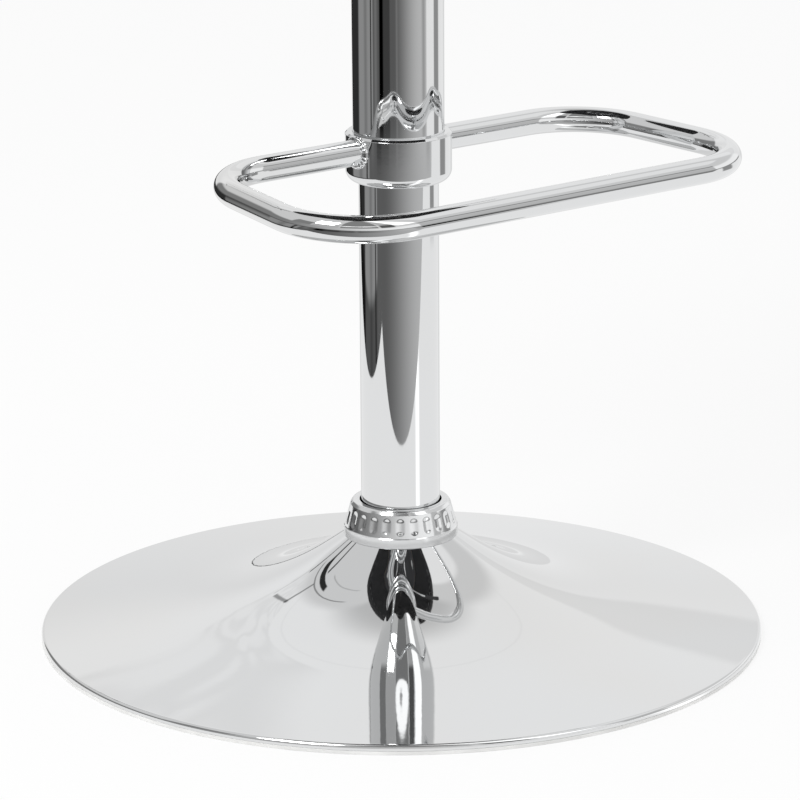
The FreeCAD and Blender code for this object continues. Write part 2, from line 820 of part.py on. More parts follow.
def lever_grip():
    """Moulded grip over the lever's end, with a rounded tip and a rim."""
    r = grip_radius
    inner = lever_rod_radius + press_gap
    tip = r * 0.6
    s = math.sqrt(0.5)
    length = grip_length
    end = length - grip_collar
    shape = turned([at(inner, 0), at(r * 0.8, 0), at(r, 3), at(r * 0.9, 6), at(r * 0.82, length * 0.5),
                    at(r, length - tip),
                    (at(r - tip * (1 - s), length - tip * (1 - s)), at(r - tip, length)),
                    at(0, length), at(0, end), at(inner, end)])
    shape.rotate(V(0, 0, 0), V(0, 1, 0), 90)
    shape.translate(V(lever_reach - length, 0, rod_low_height))
    return shape


# Seat

board_bottom = mech_top
board_top = board_bottom + board_thickness
board_inset = seat_tuck + cover_thickness + board_padding
board_size = seat_size - 2 * board_inset
board_corner = seat_corner - board_inset


def seat_board():
    """Plywood board with the holes of the tee nuts and a relief over the lever."""
    body = slab(board_size, board_corner, board_bottom, board_top)
    for x, y in seat_bolt_places():
        body = body.cut(disc(tee_nut_barrel, board_bottom - 1, board_top + 1, x, y))
        body = body.cut(disc(tee_nut_radius, board_top - tee_nut_flange, board_top + 1, x, y))
    return body


def tee_nuts():
    """Tee nuts pressed into the board."""
    nuts = []
    for x, y in seat_bolt_places():
        flange = disc(tee_nut_radius - press_gap, board_top - tee_nut_flange, board_top - press_gap, x, y)
        barrel = disc(tee_nut_barrel - press_gap, board_bottom + 2, board_top - tee_nut_flange, x, y)
        nut = flange.fuse(barrel).removeSplitter()
        nuts.append(nut.cut(disc(seat_bolt_radius + press_gap, board_bottom, board_top, x, y)))
    return Part.makeCompound(nuts)


bolt_seat = mech_top - mech_sheet - seat_washer_thickness


def seat_bolts():
    """Pan-head bolts from below."""
    bolts = []
    for x, y in seat_bolt_places():
        shank = disc(seat_bolt_radius, bolt_seat, board_top - 1, x, y)
        head = Part.makeCone(seat_bolt_head_radius * 0.7, seat_bolt_head_radius, seat_bolt_head_height,
                             V(x, y, bolt_seat - seat_bolt_head_height))
        socket = disc(seat_bolt_radius * 0.7, bolt_seat - seat_bolt_head_height - 1,
                      bolt_seat - seat_bolt_head_height * 0.4, x, y)
        bolts.append(shank.fuse(head).removeSplitter().cut(socket))
    return Part.makeCompound(bolts)


def seat_washers():
    """Plain washers under the bolt heads."""
    washers = []
    for x, y in seat_bolt_places():
        body = disc(seat_washer_radius, bolt_seat, bolt_seat + seat_washer_thickness, x, y)
        washers.append(body.cut(disc(seat_bolt_radius + press_gap, bolt_seat - 1, mech_top, x, y)))
    return Part.makeCompound(washers)


hem_bottom = board_bottom - cover_thickness


def dust_cover():
    """Thin black sheet stapled over the cover's hem, cut out round the mechanism."""
    z0 = hem_bottom - dust_cover_thickness
    size = board_size - 2 * dust_cover_inset
    body = slab(size, board_corner - dust_cover_inset, z0, hem_bottom)
    half_x = mech_half_web + mech_flange + 1
    half_y = mech_half_length + 1
    return body.cut(box(-half_x, half_x, -half_y, half_y, z0 - 1, hem_bottom + 1))


seat_edge = board_bottom + seat_side_height


def seat_sections(inset):
    """Size, corner radius and height of the seat's sides, from the tucked foot to the seam."""
    full = seat_size - 2 * inset
    corner = seat_corner - inset
    foot = hem_bottom + inset
    side = seat_edge - foot
    return [
        (full - 2 * seat_tuck, corner - seat_tuck, foot),
        (full - seat_tuck * 0.5, corner - seat_tuck * 0.25, foot + seat_tuck * 1.2),
        (full - seat_side_draw * 0.6, corner, foot + side * 0.35),
        (full - 2 * seat_side_draw, corner - seat_side_draw, foot + side * 0.65),
        (full - 2 * seat_side_draw - 2, corner - seat_side_draw, seat_edge)]


def seat_form(inset):
    """Upholstered form, inset evenly: drawn-in sides up to the seam and a crowned top."""
    sections = seat_sections(inset)
    sides = Part.makeLoft([rounded_square(*s) for s in sections], True, False)
    top_size = sections[-1][0]
    corner = sections[-1][1]
    crown = [rounded_square(top_size, corner, seat_edge)]
    for share in (0.12, 0.3, 0.55, 0.8):
        rise = seat_crown * (1 - (1 - share) ** 3) + seat_shoulder * min(1.0, share * 4) - inset
        size = top_size * (1 - share)
        crown.append(rounded_square(size, min(corner, size * 0.49) * (1 - share * 0.2), seat_edge + rise))
    top = Part.makeLoft(crown, True, False)
    return sides.fuse(top).removeSplitter()


def seat_cover():
    """Sewn cover over the foam and the board's edge, turned under in a hem."""
    opening = board_size - 2 * cover_hem
    body = seat_form(0.0).cut(seat_form(cover_thickness))
    body = body.cut(slab(opening, board_corner - cover_hem, hem_bottom - 1, board_bottom + 1))
    return body.cut(piping_bar(piping_radius + piping_gap))


def seat_foam():
    """Foam between the cover and the board, wrapped round the board's edge."""
    pocket = slab(board_size + 2 * pocket_gap, board_corner + pocket_gap, hem_bottom,
                  board_top + press_gap)
    body = seat_form(cover_thickness + foam_gap)
    return body.cut(pocket)


def piping_bar(r):
    """Round bar along the seam between the sides and the top."""
    last = seat_sections(0.0)[-1]
    path = rounded_square(last[0] + 2 * piping_offset, last[1] + piping_offset, seat_edge)
    start = path.Edges[0].valueAt(path.Edges[0].FirstParameter)
    circle = Part.Wire([Part.Circle(start, V(0, 1, 0), r).toShape()])
    return path.makePipeShell([circle], True, False)


os.makedirs("parts", exist_ok=True)

# Base body
save(base_plate(), "base_plate")
save(floor_ring(), "floor_ring")
save(base_weight(), "base_weight")
save(hub_socket(), "hub_socket")
save(hub_screws(), "hub_screws")
save(ring_cover(), "ring_cover")
save(ring(post_radius, post_radius - post_wall, post_seat, post_top), "post_tube")
save(post_foot(), "post_foot")
save(ring(anchor_washer_radius, stud_hole, nut_top, washer_top), "anchor_washer")
save(anchor_nut(), "anchor_nut")
save(ring(plug_radius, rod_clear, foot_top, plate_top), "bearing_plate")
save(ring(bearing_washer_radius, rod_clear, plate_top, low_washer_top), "thrust_washer_lower")
save(balls(), "thrust_balls")
save(ball_cage(), "ball_cage")
save(guide_bush(), "guide_bush")

# Turning core of the gas spring
save(piston_rod(), "piston_rod")
save(rod_clip(), "rod_clip")
save(ring(bearing_washer_radius, rod_radius + press_gap, high_washer_bottom, high_washer_top),
     "thrust_washer_upper")
save(ring(bump_stop_radius, rod_radius + press_gap, collar_stop, collar_stop + bump_stop_height),
     "bump_stop")
save(ring(bore_radius - running_gap, rod_thread_radius + press_gap, rod_top, rod_top + piston_thickness),
     "gas_piston")
save(piston_nut(), "piston_nut")

# Seat body
save(gas_cylinder(), "gas_cylinder")
save(ring(bore_radius - press_gap, rod_radius + rod_fit, cylinder_bottom, plug_top), "cylinder_seal")
save(ring(sleeve_radius, sleeve_radius - sleeve_wall, sleeve_bottom, mech_bottom), "sleeve_tube")
save(sleeve_bush(), "sleeve_bush")
save(footrest_collar(), "footrest_collar")
save(collar_screws(), "collar_screws")
save(footrest_loop(), "footrest_loop")
save(footrest_welds(), "footrest_welds")
save(top_collar(), "top_collar")
save(mount_hub(), "mount_hub")
save(mounting_plate(), "mounting_plate")
save(lever_bracket(), "lever_bracket")
save(lever_pin(), "lever_pin")
save(seat_board(), "seat_board")
save(tee_nuts(), "tee_nuts")
save(seat_bolts(), "seat_bolts")
save(seat_washers(), "seat_washers")
save(dust_cover(), "dust_cover")
save(seat_foam(), "seat_foam")
save(seat_cover(), "seat_cover")
save(piping_bar(piping_radius), "welt_piping")

# Lever and button
save(lever_rod(), "lever_rod")
save(lever_grip(), "lever_grip")
save(disc(button_radius, cylinder_top - button_depth, button_top), "release_button")
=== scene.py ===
import json
import math

import bmesh
import bpy
import numpy as np
from mathutils import Matrix, Vector


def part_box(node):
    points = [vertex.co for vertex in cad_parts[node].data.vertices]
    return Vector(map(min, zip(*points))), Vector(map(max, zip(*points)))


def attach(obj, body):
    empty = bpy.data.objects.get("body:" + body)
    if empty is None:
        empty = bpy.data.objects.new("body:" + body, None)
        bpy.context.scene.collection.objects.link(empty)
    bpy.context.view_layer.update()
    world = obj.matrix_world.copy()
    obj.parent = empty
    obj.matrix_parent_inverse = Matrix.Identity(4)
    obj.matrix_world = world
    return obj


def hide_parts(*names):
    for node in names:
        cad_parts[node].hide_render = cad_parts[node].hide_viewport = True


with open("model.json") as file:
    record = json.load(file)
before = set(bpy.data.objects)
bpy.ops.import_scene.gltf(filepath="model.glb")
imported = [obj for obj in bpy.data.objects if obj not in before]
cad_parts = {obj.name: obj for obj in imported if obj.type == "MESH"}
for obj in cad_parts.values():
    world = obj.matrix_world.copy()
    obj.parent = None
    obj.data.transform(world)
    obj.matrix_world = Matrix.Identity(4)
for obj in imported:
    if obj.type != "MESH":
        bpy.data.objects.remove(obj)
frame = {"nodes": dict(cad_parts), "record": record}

# Swivel bar stool. Sizes below are millimetres, as in the part's source, and MM turns them into metres.
MM = 0.001
TAU = 2 * math.pi
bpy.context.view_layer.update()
scene = bpy.context.scene

# Camera, from where the photograph was taken: its turn about the column's axis, distance from the axis and
# height above the floor in metres, how far it looks down and leans in radians, lens and sensor
HEADING = math.radians(-38.2)
DISTANCE = 2.400
HEIGHT = 0.83446
PITCH = 0.27854
ROLL = -0.0059
LENS = 181.8
SENSOR = 36.0

# Directions of the studio on the floor: to the camera's right, and towards the camera
RIGHT = (math.cos(HEADING), math.sin(HEADING))
NEAR = (math.sin(HEADING), -math.cos(HEADING))


def reach(node):
    """Outer radius of a turned CAD node."""
    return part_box(node)[1].x / MM


def heights(node):
    """Lowest and highest height of a CAD node."""
    low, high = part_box(node)
    return low.z / MM, high.z / MM


class Wire:
    """A socket of a shader tree. Arithmetic on it adds Math nodes, and node() adds any other kind."""

    def __init__(self, tree, socket=None):
        self.tree = tree
        self.socket = socket

    def node(self, kind, out=0, settings=None, **inputs):
        """New node: its settings first, then its sockets, with values or wires. A socket goes by its name,
        or by its number as n0, n1 and so on."""
        made = self.tree.nodes.new("ShaderNode" + kind)
        for key, value in (settings or {}).items():
            setattr(made, key, value)
        for key, value in inputs.items():
            by_number = key[0] == "n" and key[1:].isdigit()
            socket = made.inputs[int(key[1:]) if by_number else key.replace("_", " ")]
            if isinstance(value, Wire):
                self.tree.links.new(value.socket, socket)
            else:
                socket.default_value = value
        return Wire(self.tree, made.outputs[out])

    def math(self, operation, *others):
        """A Math node of this value and others."""
        inputs = {"n0": self}
        for i, other in enumerate(others):
            inputs["n%d" % (i + 1)] = other
        return self.node("Math", settings={"operation": operation}, **inputs)

    def __add__(self, other):
        return self.math("ADD", other)

    __radd__ = __add__

    def __sub__(self, other):
        return self.math("SUBTRACT", other)

    def __rsub__(self, other):
        return self.node("Math", settings={"operation": "SUBTRACT"}, n0=other, n1=self)

    def __mul__(self, other):
        return self.math("MULTIPLY", other)

    __rmul__ = __mul__

    def __truediv__(self, other):
        return self.math("DIVIDE", other)

    def __rtruediv__(self, other):
        return self.node("Math", settings={"operation": "DIVIDE"}, n0=other, n1=self)

    def step(self, low, high, a=0.0, b=1.0):
        """Smooth rise from a to b while the value goes from low to high."""
        return self.node("MapRange", settings={"interpolation_type": "SMOOTHSTEP"}, Value=self,
                         From_Min=low, From_Max=high, To_Min=a, To_Max=b)

    def near(self, place, width):
        """1 at place, falling smoothly to 0 at width on either side."""
        return (self - place).math("ABSOLUTE").step(0.0, width, 1.0, 0.0)

    def band(self, low, high, soft):
        """1 between low and high, falling smoothly to 0 over soft outside them."""
        return self.step(low - soft, low) * self.step(high, high + soft, 1.0, 0.0)

    def blend(self, a, b):
        """Colour a where this is 0, colour b where it is 1."""
        return self.node("Mix", 2, {"data_type": "RGBA"}, n0=self, n6=(*a, 1), n7=(*b, 1))

    def grey(self):
        """This value as a colour."""
        return self.node("CombineColor", Red=self, Green=self, Blue=self)

    def part(self, axis):
        """One part of this vector: 0 for x, 1 for y, 2 for z."""
        return self.node("SeparateXYZ", axis, Vector=self)

    def close(self, kind):
        """Joins this shader to the tree's output."""
        output = self.tree.nodes.new("ShaderNodeOutput" + kind)
        self.tree.links.new(self.socket, output.inputs[0])


def cleared(owner):
    """Wire of the emptied node tree of a material or world."""
    owner.use_nodes = True
    owner.node_tree.nodes.clear()
    return Wire(owner.node_tree)


def finish(name, build):
    """New material: build(wire, shader) links what varies and sets the rest on the shader."""
    material = bpy.data.materials.new(name)
    w = cleared(material)
    shader = w.node("BsdfPrincipled")
    shader.close("Material")
    build(w, shader.socket.node)
    return material


def link(wire, surface, name):
    """Joins a wire to a socket of the shader."""
    wire.tree.links.new(wire.socket, surface.inputs[name])


def places(w):
    """Object coordinates, in metres."""
    return w.node("TexCoord", 3)


def noise(w, scale, detail=2.0, rough=0.5, where=None):
    """Smooth noise, at the object's own coordinates unless others are given."""
    return w.node("TexNoise", 0, {"noise_dimensions": "3D"}, Vector=where or places(w), Scale=scale,
                  Detail=detail, Roughness=rough)


def cells(where, scale, feature="F1"):
    """Cell pattern at some coordinates."""
    return where.node("TexVoronoi", 0, {"feature": feature}, Vector=where, Scale=scale)


def stretched(w, x, y, z):
    """Object coordinates scaled along each axis."""
    return w.node("Mapping", Vector=places(w), Scale=(x, y, z))


def dent(w, surface, height, distance):
    """Bump from a height field, with its depth in metres."""
    link(w.node("Bump", Height=height, Distance=distance, Strength=1.0), surface, "Normal")


# Finishes

def plating(name, tint=0.735, rough=0.035, ripple=0.0, ripple_size=0.008, satin_below=None):
    """Polished chrome: faint wiping marks in the gloss, and the ripple of the metal under the plating.
    Below a height the metal may be left satin."""
    def build(w, s):
        s.inputs["Metallic"].default_value = 1.0
        if satin_below:
            edge = satin_below * MM
            link(places(w).part(2).step(edge - 0.3 * MM, edge, 0.3, 1.0), s, "Metallic")
        smear = noise(w, 9.0, 4.0, 0.6).step(0.35, 0.75)
        hair = noise(w, 1.0, 2.0, 0.5, stretched(w, 60, 60, 900)).step(0.5, 0.8)
        link(smear * (rough * 0.7) + hair * (rough * 0.35) + rough * 0.6, s, "Roughness")
        cool = (tint * 0.99, tint, tint * 1.008)
        warm = (tint * 0.985, tint * 0.985, tint * 0.98)
        link(noise(w, 5.0).step(0.4, 0.7).blend(cool, warm), s, "Base Color")
        if ripple:
            wave = noise(w, 1.0 / ripple_size, 1.0) + noise(w, 0.22 / ripple_size, 1.0) * 2.5
            dent(w, s, wave, ripple * MM)
    return finish(name, build)


def zinc(name, tint=0.60, rough=0.33):
    """Bright zinc plating with a cloudy grain and a faint warm cast."""
    def build(w, s):
        s.inputs["Metallic"].default_value = 1.0
        cloud = noise(w, 60.0, 4.0, 0.6)
        link(cloud.step(0.3, 0.7, rough * 0.8, rough * 1.3), s, "Roughness")
        cool = (tint, tint * 1.01, tint * 1.03)
        warm = (tint * 0.9, tint * 0.9, tint * 0.84)
        link(cloud.step(0.35, 0.7).blend(cool, warm), s, "Base Color")
        dent(w, s, noise(w, 700.0, 2.0), 0.02 * MM)
    return finish(name, build)


def enamel(name, colour, rough=0.38):
    """Black powder coating with its fine orange peel."""
    def build(w, s):
        link(noise(w, 30.0, 3.0).step(0.3, 0.7, rough * 0.85, rough * 1.15), s, "Roughness")
        light = [c * 1.5 for c in colour]
        link(noise(w, 90.0, 3.0).step(0.45, 0.75).blend(colour, light), s, "Base Color")
        dent(w, s, noise(w, 520.0), 0.05 * MM)
    return finish(name, build)


def casting(name, colour):
    """Sand-cast iron: coarse skin with dark pits."""
    def build(w, s):
        s.inputs["Metallic"].default_value = 0.6
        grain = noise(w, 380.0, 4.0, 0.7)
        pits = cells(places(w), 160.0).step(0.05, 0.3)
        link(grain.step(0.3, 0.7, 0.6, 0.85), s, "Roughness")
        link(pits.blend([c * 0.5 for c in colour], colour), s, "Base Color")
        dent(w, s, grain + pits * 0.8, 0.25 * MM)
    return finish(name, build)


def plastic(name, colour, rough=0.42, grain=0.03, size=900.0):
    """Moulded plastic with a fine spark-eroded grain."""
    def build(w, s):
        link(noise(w, 25.0, 3.0).step(0.3, 0.7, rough * 0.85, rough * 1.15), s, "Roughness")
        light = [min(1.0, c * 1.12 + 0.004) for c in colour]
        link(noise(w, 40.0).step(0.35, 0.7).blend(colour, light), s, "Base Color")
        dent(w, s, noise(w, size, 2.0, 0.6), grain * MM)
    return finish(name, build)


def plywood(name):
    """Birch plywood: long grain on the faces, dark glue lines and light veneers at the edge."""
    def build(w, s):
        grain = noise(w, 1.0, 5.0, 0.6, stretched(w, 9, 160, 160))
        ply = (places(w).part(2) * (TAU / (2.4 * MM))).math("SINE").step(-0.3, 0.6)
        face = grain.step(0.3, 0.75).blend((0.62, 0.44, 0.27), (0.42, 0.27, 0.15))
        link(w.node("Mix", 2, {"data_type": "RGBA", "blend_type": "MULTIPLY"}, n0=0.6, n6=face,
                    n7=(ply * 0.5 + 0.5).grey()), s, "Base Color")
        link(grain.step(0.3, 0.7, 0.55, 0.75), s, "Roughness")
        dent(w, s, grain, 0.15 * MM)
    return finish(name, build)


def spunbond(name):
    """Thin black non-woven cloth with its grid of pressed dots."""
    def build(w, s):
        s.inputs["Specular IOR Level"].default_value = 0.25
        pitch = TAU / (1.6 * MM)
        across, along = ((places(w).part(i) * pitch).math("SINE") for i in (0, 1))
        dots = (across * along).step(0.45, 0.8)
        fibre = noise(w, 1500.0, 3.0, 0.7)
        shade = (fibre * 0.6 + dots * 0.4).step(0.2, 0.8)
        link(shade.blend((0.018, 0.018, 0.019), (0.055, 0.055, 0.057)), s, "Base Color")
        link(fibre.step(0.3, 0.7, 0.8, 0.98), s, "Roughness")
        dent(w, s, fibre - dots * 0.8, 0.12 * MM)
    return finish(name, build)


def foam(name):
    """Open-cell seat foam, darker in the middle of each pore: painted shade in the pores."""
    def build(w, s):
        pores = cells(places(w), 900.0)
        # Darker at each pore's middle, where the bump is lowest: painted shade in the pores
        link(pores.step(0.1, 0.6).blend((0.55, 0.50, 0.33), (0.80, 0.75, 0.55)), s, "Base Color")
        link(pores.step(0.1, 0.6, 0.95, 0.85), s, "Roughness")
        dent(w, s, pores, 0.3 * MM)
    return finish(name, build)


def coated_cloth(name):
    """Black coated upholstery: pebbled grain of two sizes, creases, a worn sheen on the high spots, and
    painted shade in the crevices between the pebbles.
    """
    shift = 2.2 * MM

    def build(w, s):
        s.inputs["Specular IOR Level"].default_value = 0.5
        s.inputs["Coat Roughness"].default_value = 0.35
        sway = w.node("TexNoise", 1, {"noise_dimensions": "3D"}, Vector=places(w), Scale=180.0, Detail=2.0)
        warp = w.node("VectorMath", 0, {"operation": "MULTIPLY_ADD"}, n0=sway, n1=(shift, shift, shift),
                      n2=places(w))
        top = cells(warp, 620.0, "DISTANCE_TO_EDGE").step(0.02, 0.3)
        small = cells(warp, 1500.0, "DISTANCE_TO_EDGE").step(0.02, 0.3)
        crease = noise(w, 55.0, 5.0, 0.62).near(0.5, 0.035)
        height = top + small * 0.35 - crease * 0.35 + noise(w, 28.0, 3.0) * 1.6
        worn = noise(w, 7.0, 3.0).step(0.35, 0.75)
        # Pebble tops lighter and the crevices between them darker: painted shade in the grain
        link(top.blend((0.011, 0.011, 0.012), (0.030, 0.030, 0.032)), s, "Base Color")
        link(top * -0.12 + worn * -0.06 + 0.50, s, "Roughness")
        link(top * 0.12, s, "Coat Weight")
        dent(w, s, height, 0.16 * MM)
    return finish(name, build)


finishes = {
    "chrome": plating("tube_chrome"),
    "polished_rod": plating("rod_chrome", 0.68, 0.06),
    "zinc_steel": zinc("zinc_plate"),
    "black_steel": enamel("black_enamel", (0.022, 0.022, 0.024)),
    "cast_iron": casting("raw_casting", (0.10, 0.10, 0.105)),
    "floor_ring_plastic": plastic("pale_ring_plastic", (0.76, 0.76, 0.75), 0.38, 0.02),
    "bush_plastic": plastic("bush_plastic", (0.09, 0.09, 0.095), 0.45),
    "bump_rubber": plastic("bump_rubber", (0.035, 0.035, 0.035), 0.75, 0.06, 600.0),
    "grip_plastic": plastic("grip_plastic", (0.022, 0.022, 0.024), 0.40, 0.05, 1100.0),
    "plywood": plywood("board_plywood"),
    "dust_cloth": spunbond("dust_cloth"),
    "foam": foam("seat_foam_cells"),
    "vinyl": coated_cloth("black_coated_cloth")}
shell_chrome = plating("shell_chrome", 0.735, 0.03, 0.006, 0.007)
collar_chrome = plating("collar_chrome", 0.73, 0.05, 0.004, 0.0025)

slot_of = {p["node"]: p["material_slot"] for p in frame["record"]["subparts"]}
for name, thing in frame["nodes"].items():
    if not thing.material_slots:
        thing.data.materials.append(None)
    for place in thing.material_slots:
        place.material = finishes[slot_of[name]]


# Surfaces

def mesh_of(name, points, faces, normals=None):
    """Mesh from an array of points and one of faces, with the surface's own normals where given."""
    mesh = bpy.data.meshes.new(name)
    mesh.from_pydata(points.reshape(-1, 3).tolist(), [], faces.tolist())
    mesh.polygons.foreach_set("use_smooth", np.ones(len(mesh.polygons), bool))
    if normals is not None:
        mesh.normals_split_custom_set_from_vertices(normals.reshape(-1, 3).tolist())
    mesh.update()
    return mesh


def placed(name, data):
    """New object in the scene."""
    thing = bpy.data.objects.new(name, data)
    scene.collection.objects.link(thing)
    return thing


def piece(name, surface, body, slot, stands_for=(), material=None):
    """Points, faces and perhaps normals as a piece of the stool: it rides on a body, has a finish and
    stands for CAD nodes."""
    mesh = mesh_of(name, *surface)
    mesh.materials.append(material or finishes[slot])
    thing = placed(name, mesh)
    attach(thing, body)
    if stands_for:
        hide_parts(*stands_for)


def unit(v):
    """Vectors brought to length 1."""
    return v / np.linalg.norm(v, axis=-1, keepdims=True)


def quads(rows, columns, wrap_rows, wrap_columns):
    """Faces of a grid, its rows and columns joined end to start where they wrap."""
    r = np.arange(rows if wrap_rows else rows - 1)
    c = np.arange(columns if wrap_columns else columns - 1)
    r, c = np.meshgrid(r, c, indexing="ij")
    r2 = (r + 1) % rows
    c2 = (c + 1) % columns
    return np.stack([r * columns + c, r * columns + c2, r2 * columns + c2, r2 * columns + c],
                    -1).reshape(-1, 4)


def turn(v, angle):
    """Plane vectors turned by an angle."""
    c, s = np.cos(angle), np.sin(angle)
    return np.stack([v[0] * c - v[1] * s, v[0] * s + v[1] * c], -1)


def runs(corners, radii, closed, step):
    """Straight runs joined by tangent arcs in steps of degrees, with the unit normal on the right of the
    way. At a corner that turns by t, the arc of radius r starts r tan(t/2) before it. Its point at turn a
    is the centre minus r times the left normal turned by a."""
    corners = np.asarray(corners, float)
    count = len(corners)
    points, normals = [], []
    for i in range(count):
        here = corners[i]
        if not closed and i in (0, count - 1):
            along = unit(corners[1] - here if i == 0 else here - corners[i - 1])
            points.append(here[None])
            normals.append(np.array([[along[1], -along[0]]]))
            continue
        before = unit(here - corners[i - 1])
        after = unit(corners[(i + 1) % count] - here)
        bend = math.atan2(before[0] * after[1] - before[1] * after[0], before @ after)
        side = math.copysign(1.0, bend)
        r = radii[i]
        start = here - before * r * math.tan(abs(bend) / 2)
        left = np.array([-before[1], before[0]])
        angles = np.linspace(0, bend, max(3, math.ceil(abs(math.degrees(bend)) / step) + 1))
        turned_left = turn(left, angles)
        points.append(start + left * r * side - turned_left * r * side)
        normals.append(-turned_left)
    return np.concatenate(points), np.concatenate(normals)


def spun(p, n, columns, centre=(0, 0, 0), axis="z"):
    """Closed anticlockwise profile (radius, height) and its outward normals turned about an axis:
    x = r cos a, y = r sin a, z = h."""
    a = np.linspace(0, TAU, columns, endpoint=False)

    def rings(q):
        ring = np.stack(np.broadcast_arrays(q[:, :1] * np.cos(a), q[:, :1] * np.sin(a), q[:, 1:2]), -1)
        if axis == "x":
            return np.stack([ring[..., 2], ring[..., 1], -ring[..., 0]], -1)
        if axis == "y":
            return np.stack([ring[..., 0], ring[..., 2], -ring[..., 1]], -1)
        return ring

    points = (rings(p) + np.array(centre)) * MM
    return points, quads(len(p), columns, True, True), rings(n)


def turned(corners, radii, columns, step, centre=(0, 0, 0), axis="z"):
    """Profile of straight runs and arcs, turned about an axis. It is taken anticlockwise, so that its
    right side is outside."""
    p, n = runs(corners, radii, True, step)
    area = np.sum(p[:, 0] * np.roll(p[:, 1], -1) - np.roll(p[:, 0], -1) * p[:, 1])
    if area < 0:
        p, n = p[::-1], -n[::-1]
    return spun(p, n, columns, centre, axis)


def tube(path, side, up, radius, closed, columns, ripple=None):
    """Round bar: path + r (side cos a + up sin a) for each point of the path. Its faces point outwards."""
    a = np.linspace(0, TAU, columns, endpoint=False)
    out = side[:, None] * np.cos(a)[:, None] + up[:, None] * np.sin(a)[:, None]
    r = radius if ripple is None else radius + ripple[:, None, None]
    faces = quads(len(path), columns, closed, True)
    if np.dot(np.cross(up[0], path[1] - path[0]), side[0]) < 0:
        faces = faces[:, ::-1]
    return (path[:, None] + out * r) * MM, faces, out


def joined(*parts):
    """Several surfaces as one set of points, faces and normals."""
    count = 0
    faces = []
    for points, f, _ in parts:
        faces.append(f + count)
        count += points.reshape(-1, 3).shape[0]
    return (np.concatenate([p.reshape(-1, 3) for p, _, _ in parts]), np.concatenate(faces),
            np.concatenate([n.reshape(-1, 3) for _, _, n in parts]))


# Base shell and floor ring

base_radius = reach("base_plate")
post_radius = reach("post_tube")
sleeve_radius = reach("sleeve_tube")
base_columns = 256
neck_height = 62.7
neck_radius = post_radius + 11.0
neck_lip, lip_depth = 2.5, 1.8
rim_height, rim_edge = 6.3, 2.4
rim_reach, rim_roll, rim_ease, rim_inside = 3.0, 2.6, 0.35, 1.2
sheet = 1.5
top_rings = 76
# Slopes in degrees. The plate's is the one at a middle radius, and its growth for each millimetre outwards
cone_slope = 34.5
plate_slope, plate_growth, plate_middle = 7.405, 0.0132, 145.0
# Radii between which the plate sweeps up into the cone, and how softly it starts and ends
sweep_out, soft_out = 138.2, 10.1
sweep_in, soft_in = 49.8, 3.0


def shell_top():
    """Top of the shell from neck to rim, with its normals. Its slope is the plate's, which grows slowly
    towards the rim, blended into the cone's by a ramp with soft ends, S = (f(a, h) - f(b, k)) / (a - b),
    where f(a, h) = h ln(1 + e^((a - r) / h)). The height is the sum of the slope's tangent from the rim
    inwards."""
    r = np.linspace(neck_radius, base_radius - rim_reach, top_rings)
    share = (soft_out * np.logaddexp(0, (sweep_out - r) / soft_out)
             - soft_in * np.logaddexp(0, (sweep_in - r) / soft_in)) / (sweep_out - sweep_in)
    plate = plate_slope + plate_growth * (r - plate_middle)
    angle = np.radians(plate * (1 - share) + cone_slope * share)
    fall = np.tan(angle)
    drops = (fall[1:] + fall[:-1]) / 2 * np.diff(r)
    z = rim_height + np.append(np.cumsum(drops[::-1])[::-1], 0)
    z = z + (neck_height - z[0]) * (z - rim_height) / (z[0] - rim_height)
    return np.stack([r, z], -1), np.stack([np.sin(angle), np.cos(angle)], -1), fall[-1]


def shell():
    """The shell's sheet: lip at the neck, top, rolled rim and underside. The underside is every third ring
    of the top, moved inwards by the sheet's thickness."""
    top, top_normals, fall = shell_top()
    under, under_normals = (top - top_normals * sheet)[::-3], -top_normals[::-3]
    end = base_radius - sheet
    rim, rim_normals = runs(
        [top[-1], (base_radius, rim_height - rim_reach * fall), (base_radius, rim_edge), (end, rim_edge),
         (end, under[0][1] - (end - under[0][0]) * fall), under[0]],
        [0, rim_roll, rim_ease, rim_ease, rim_inside, 0], False, 8)
    lip_radius = neck_radius - neck_lip
    lip = np.array([(lip_radius, neck_height - lip_depth), (lip_radius, neck_height)])
    p = np.concatenate([lip, top, rim[1:-1], under])
    n = np.concatenate([[(-1, 0), (0, 1)], top_normals, -rim_normals[1:-1], under_normals])
    return spun(p[::-1], n[::-1], base_columns)


piece("base_shell", shell(), "base", "chrome", ("base_plate",), shell_chrome)

ring_in = base_radius - 17.2
ring_step = base_radius - 8.0
ring_flat = 1.5
piece("foot_ring", turned(
    [(ring_in, 0), (base_radius, 0), (base_radius, rim_edge), (ring_step, rim_edge),
     (ring_step, ring_flat), (ring_in, ring_flat)],
    [0.4, 0.5, 0.5, 0.2, 0.2, 0.3], base_columns, 15), "base", "floor_ring_plastic", ("floor_ring",))


# Dimpled cover at the neck: a foot with a bead, a cone with the dimples, and a crown round the tube

cover_foot, cover_cone, cover_crown = 6.1, 13.9, 2.3
cover_wall, cover_bead, crown_wall, crown_width = 2.0, 0.8, 1.2, 1.6
satin_height = neck_height + 6.0
DIMPLES = 24
DIMPLE_COLUMNS = 22
DIMPLE_TURN = 0.02
DIMPLE_RADIUS = 3.3
DIMPLE_STRAIGHT = 2.3
DIMPLE_DEPTH = 0.6
DIMPLE_STEP = 0.45


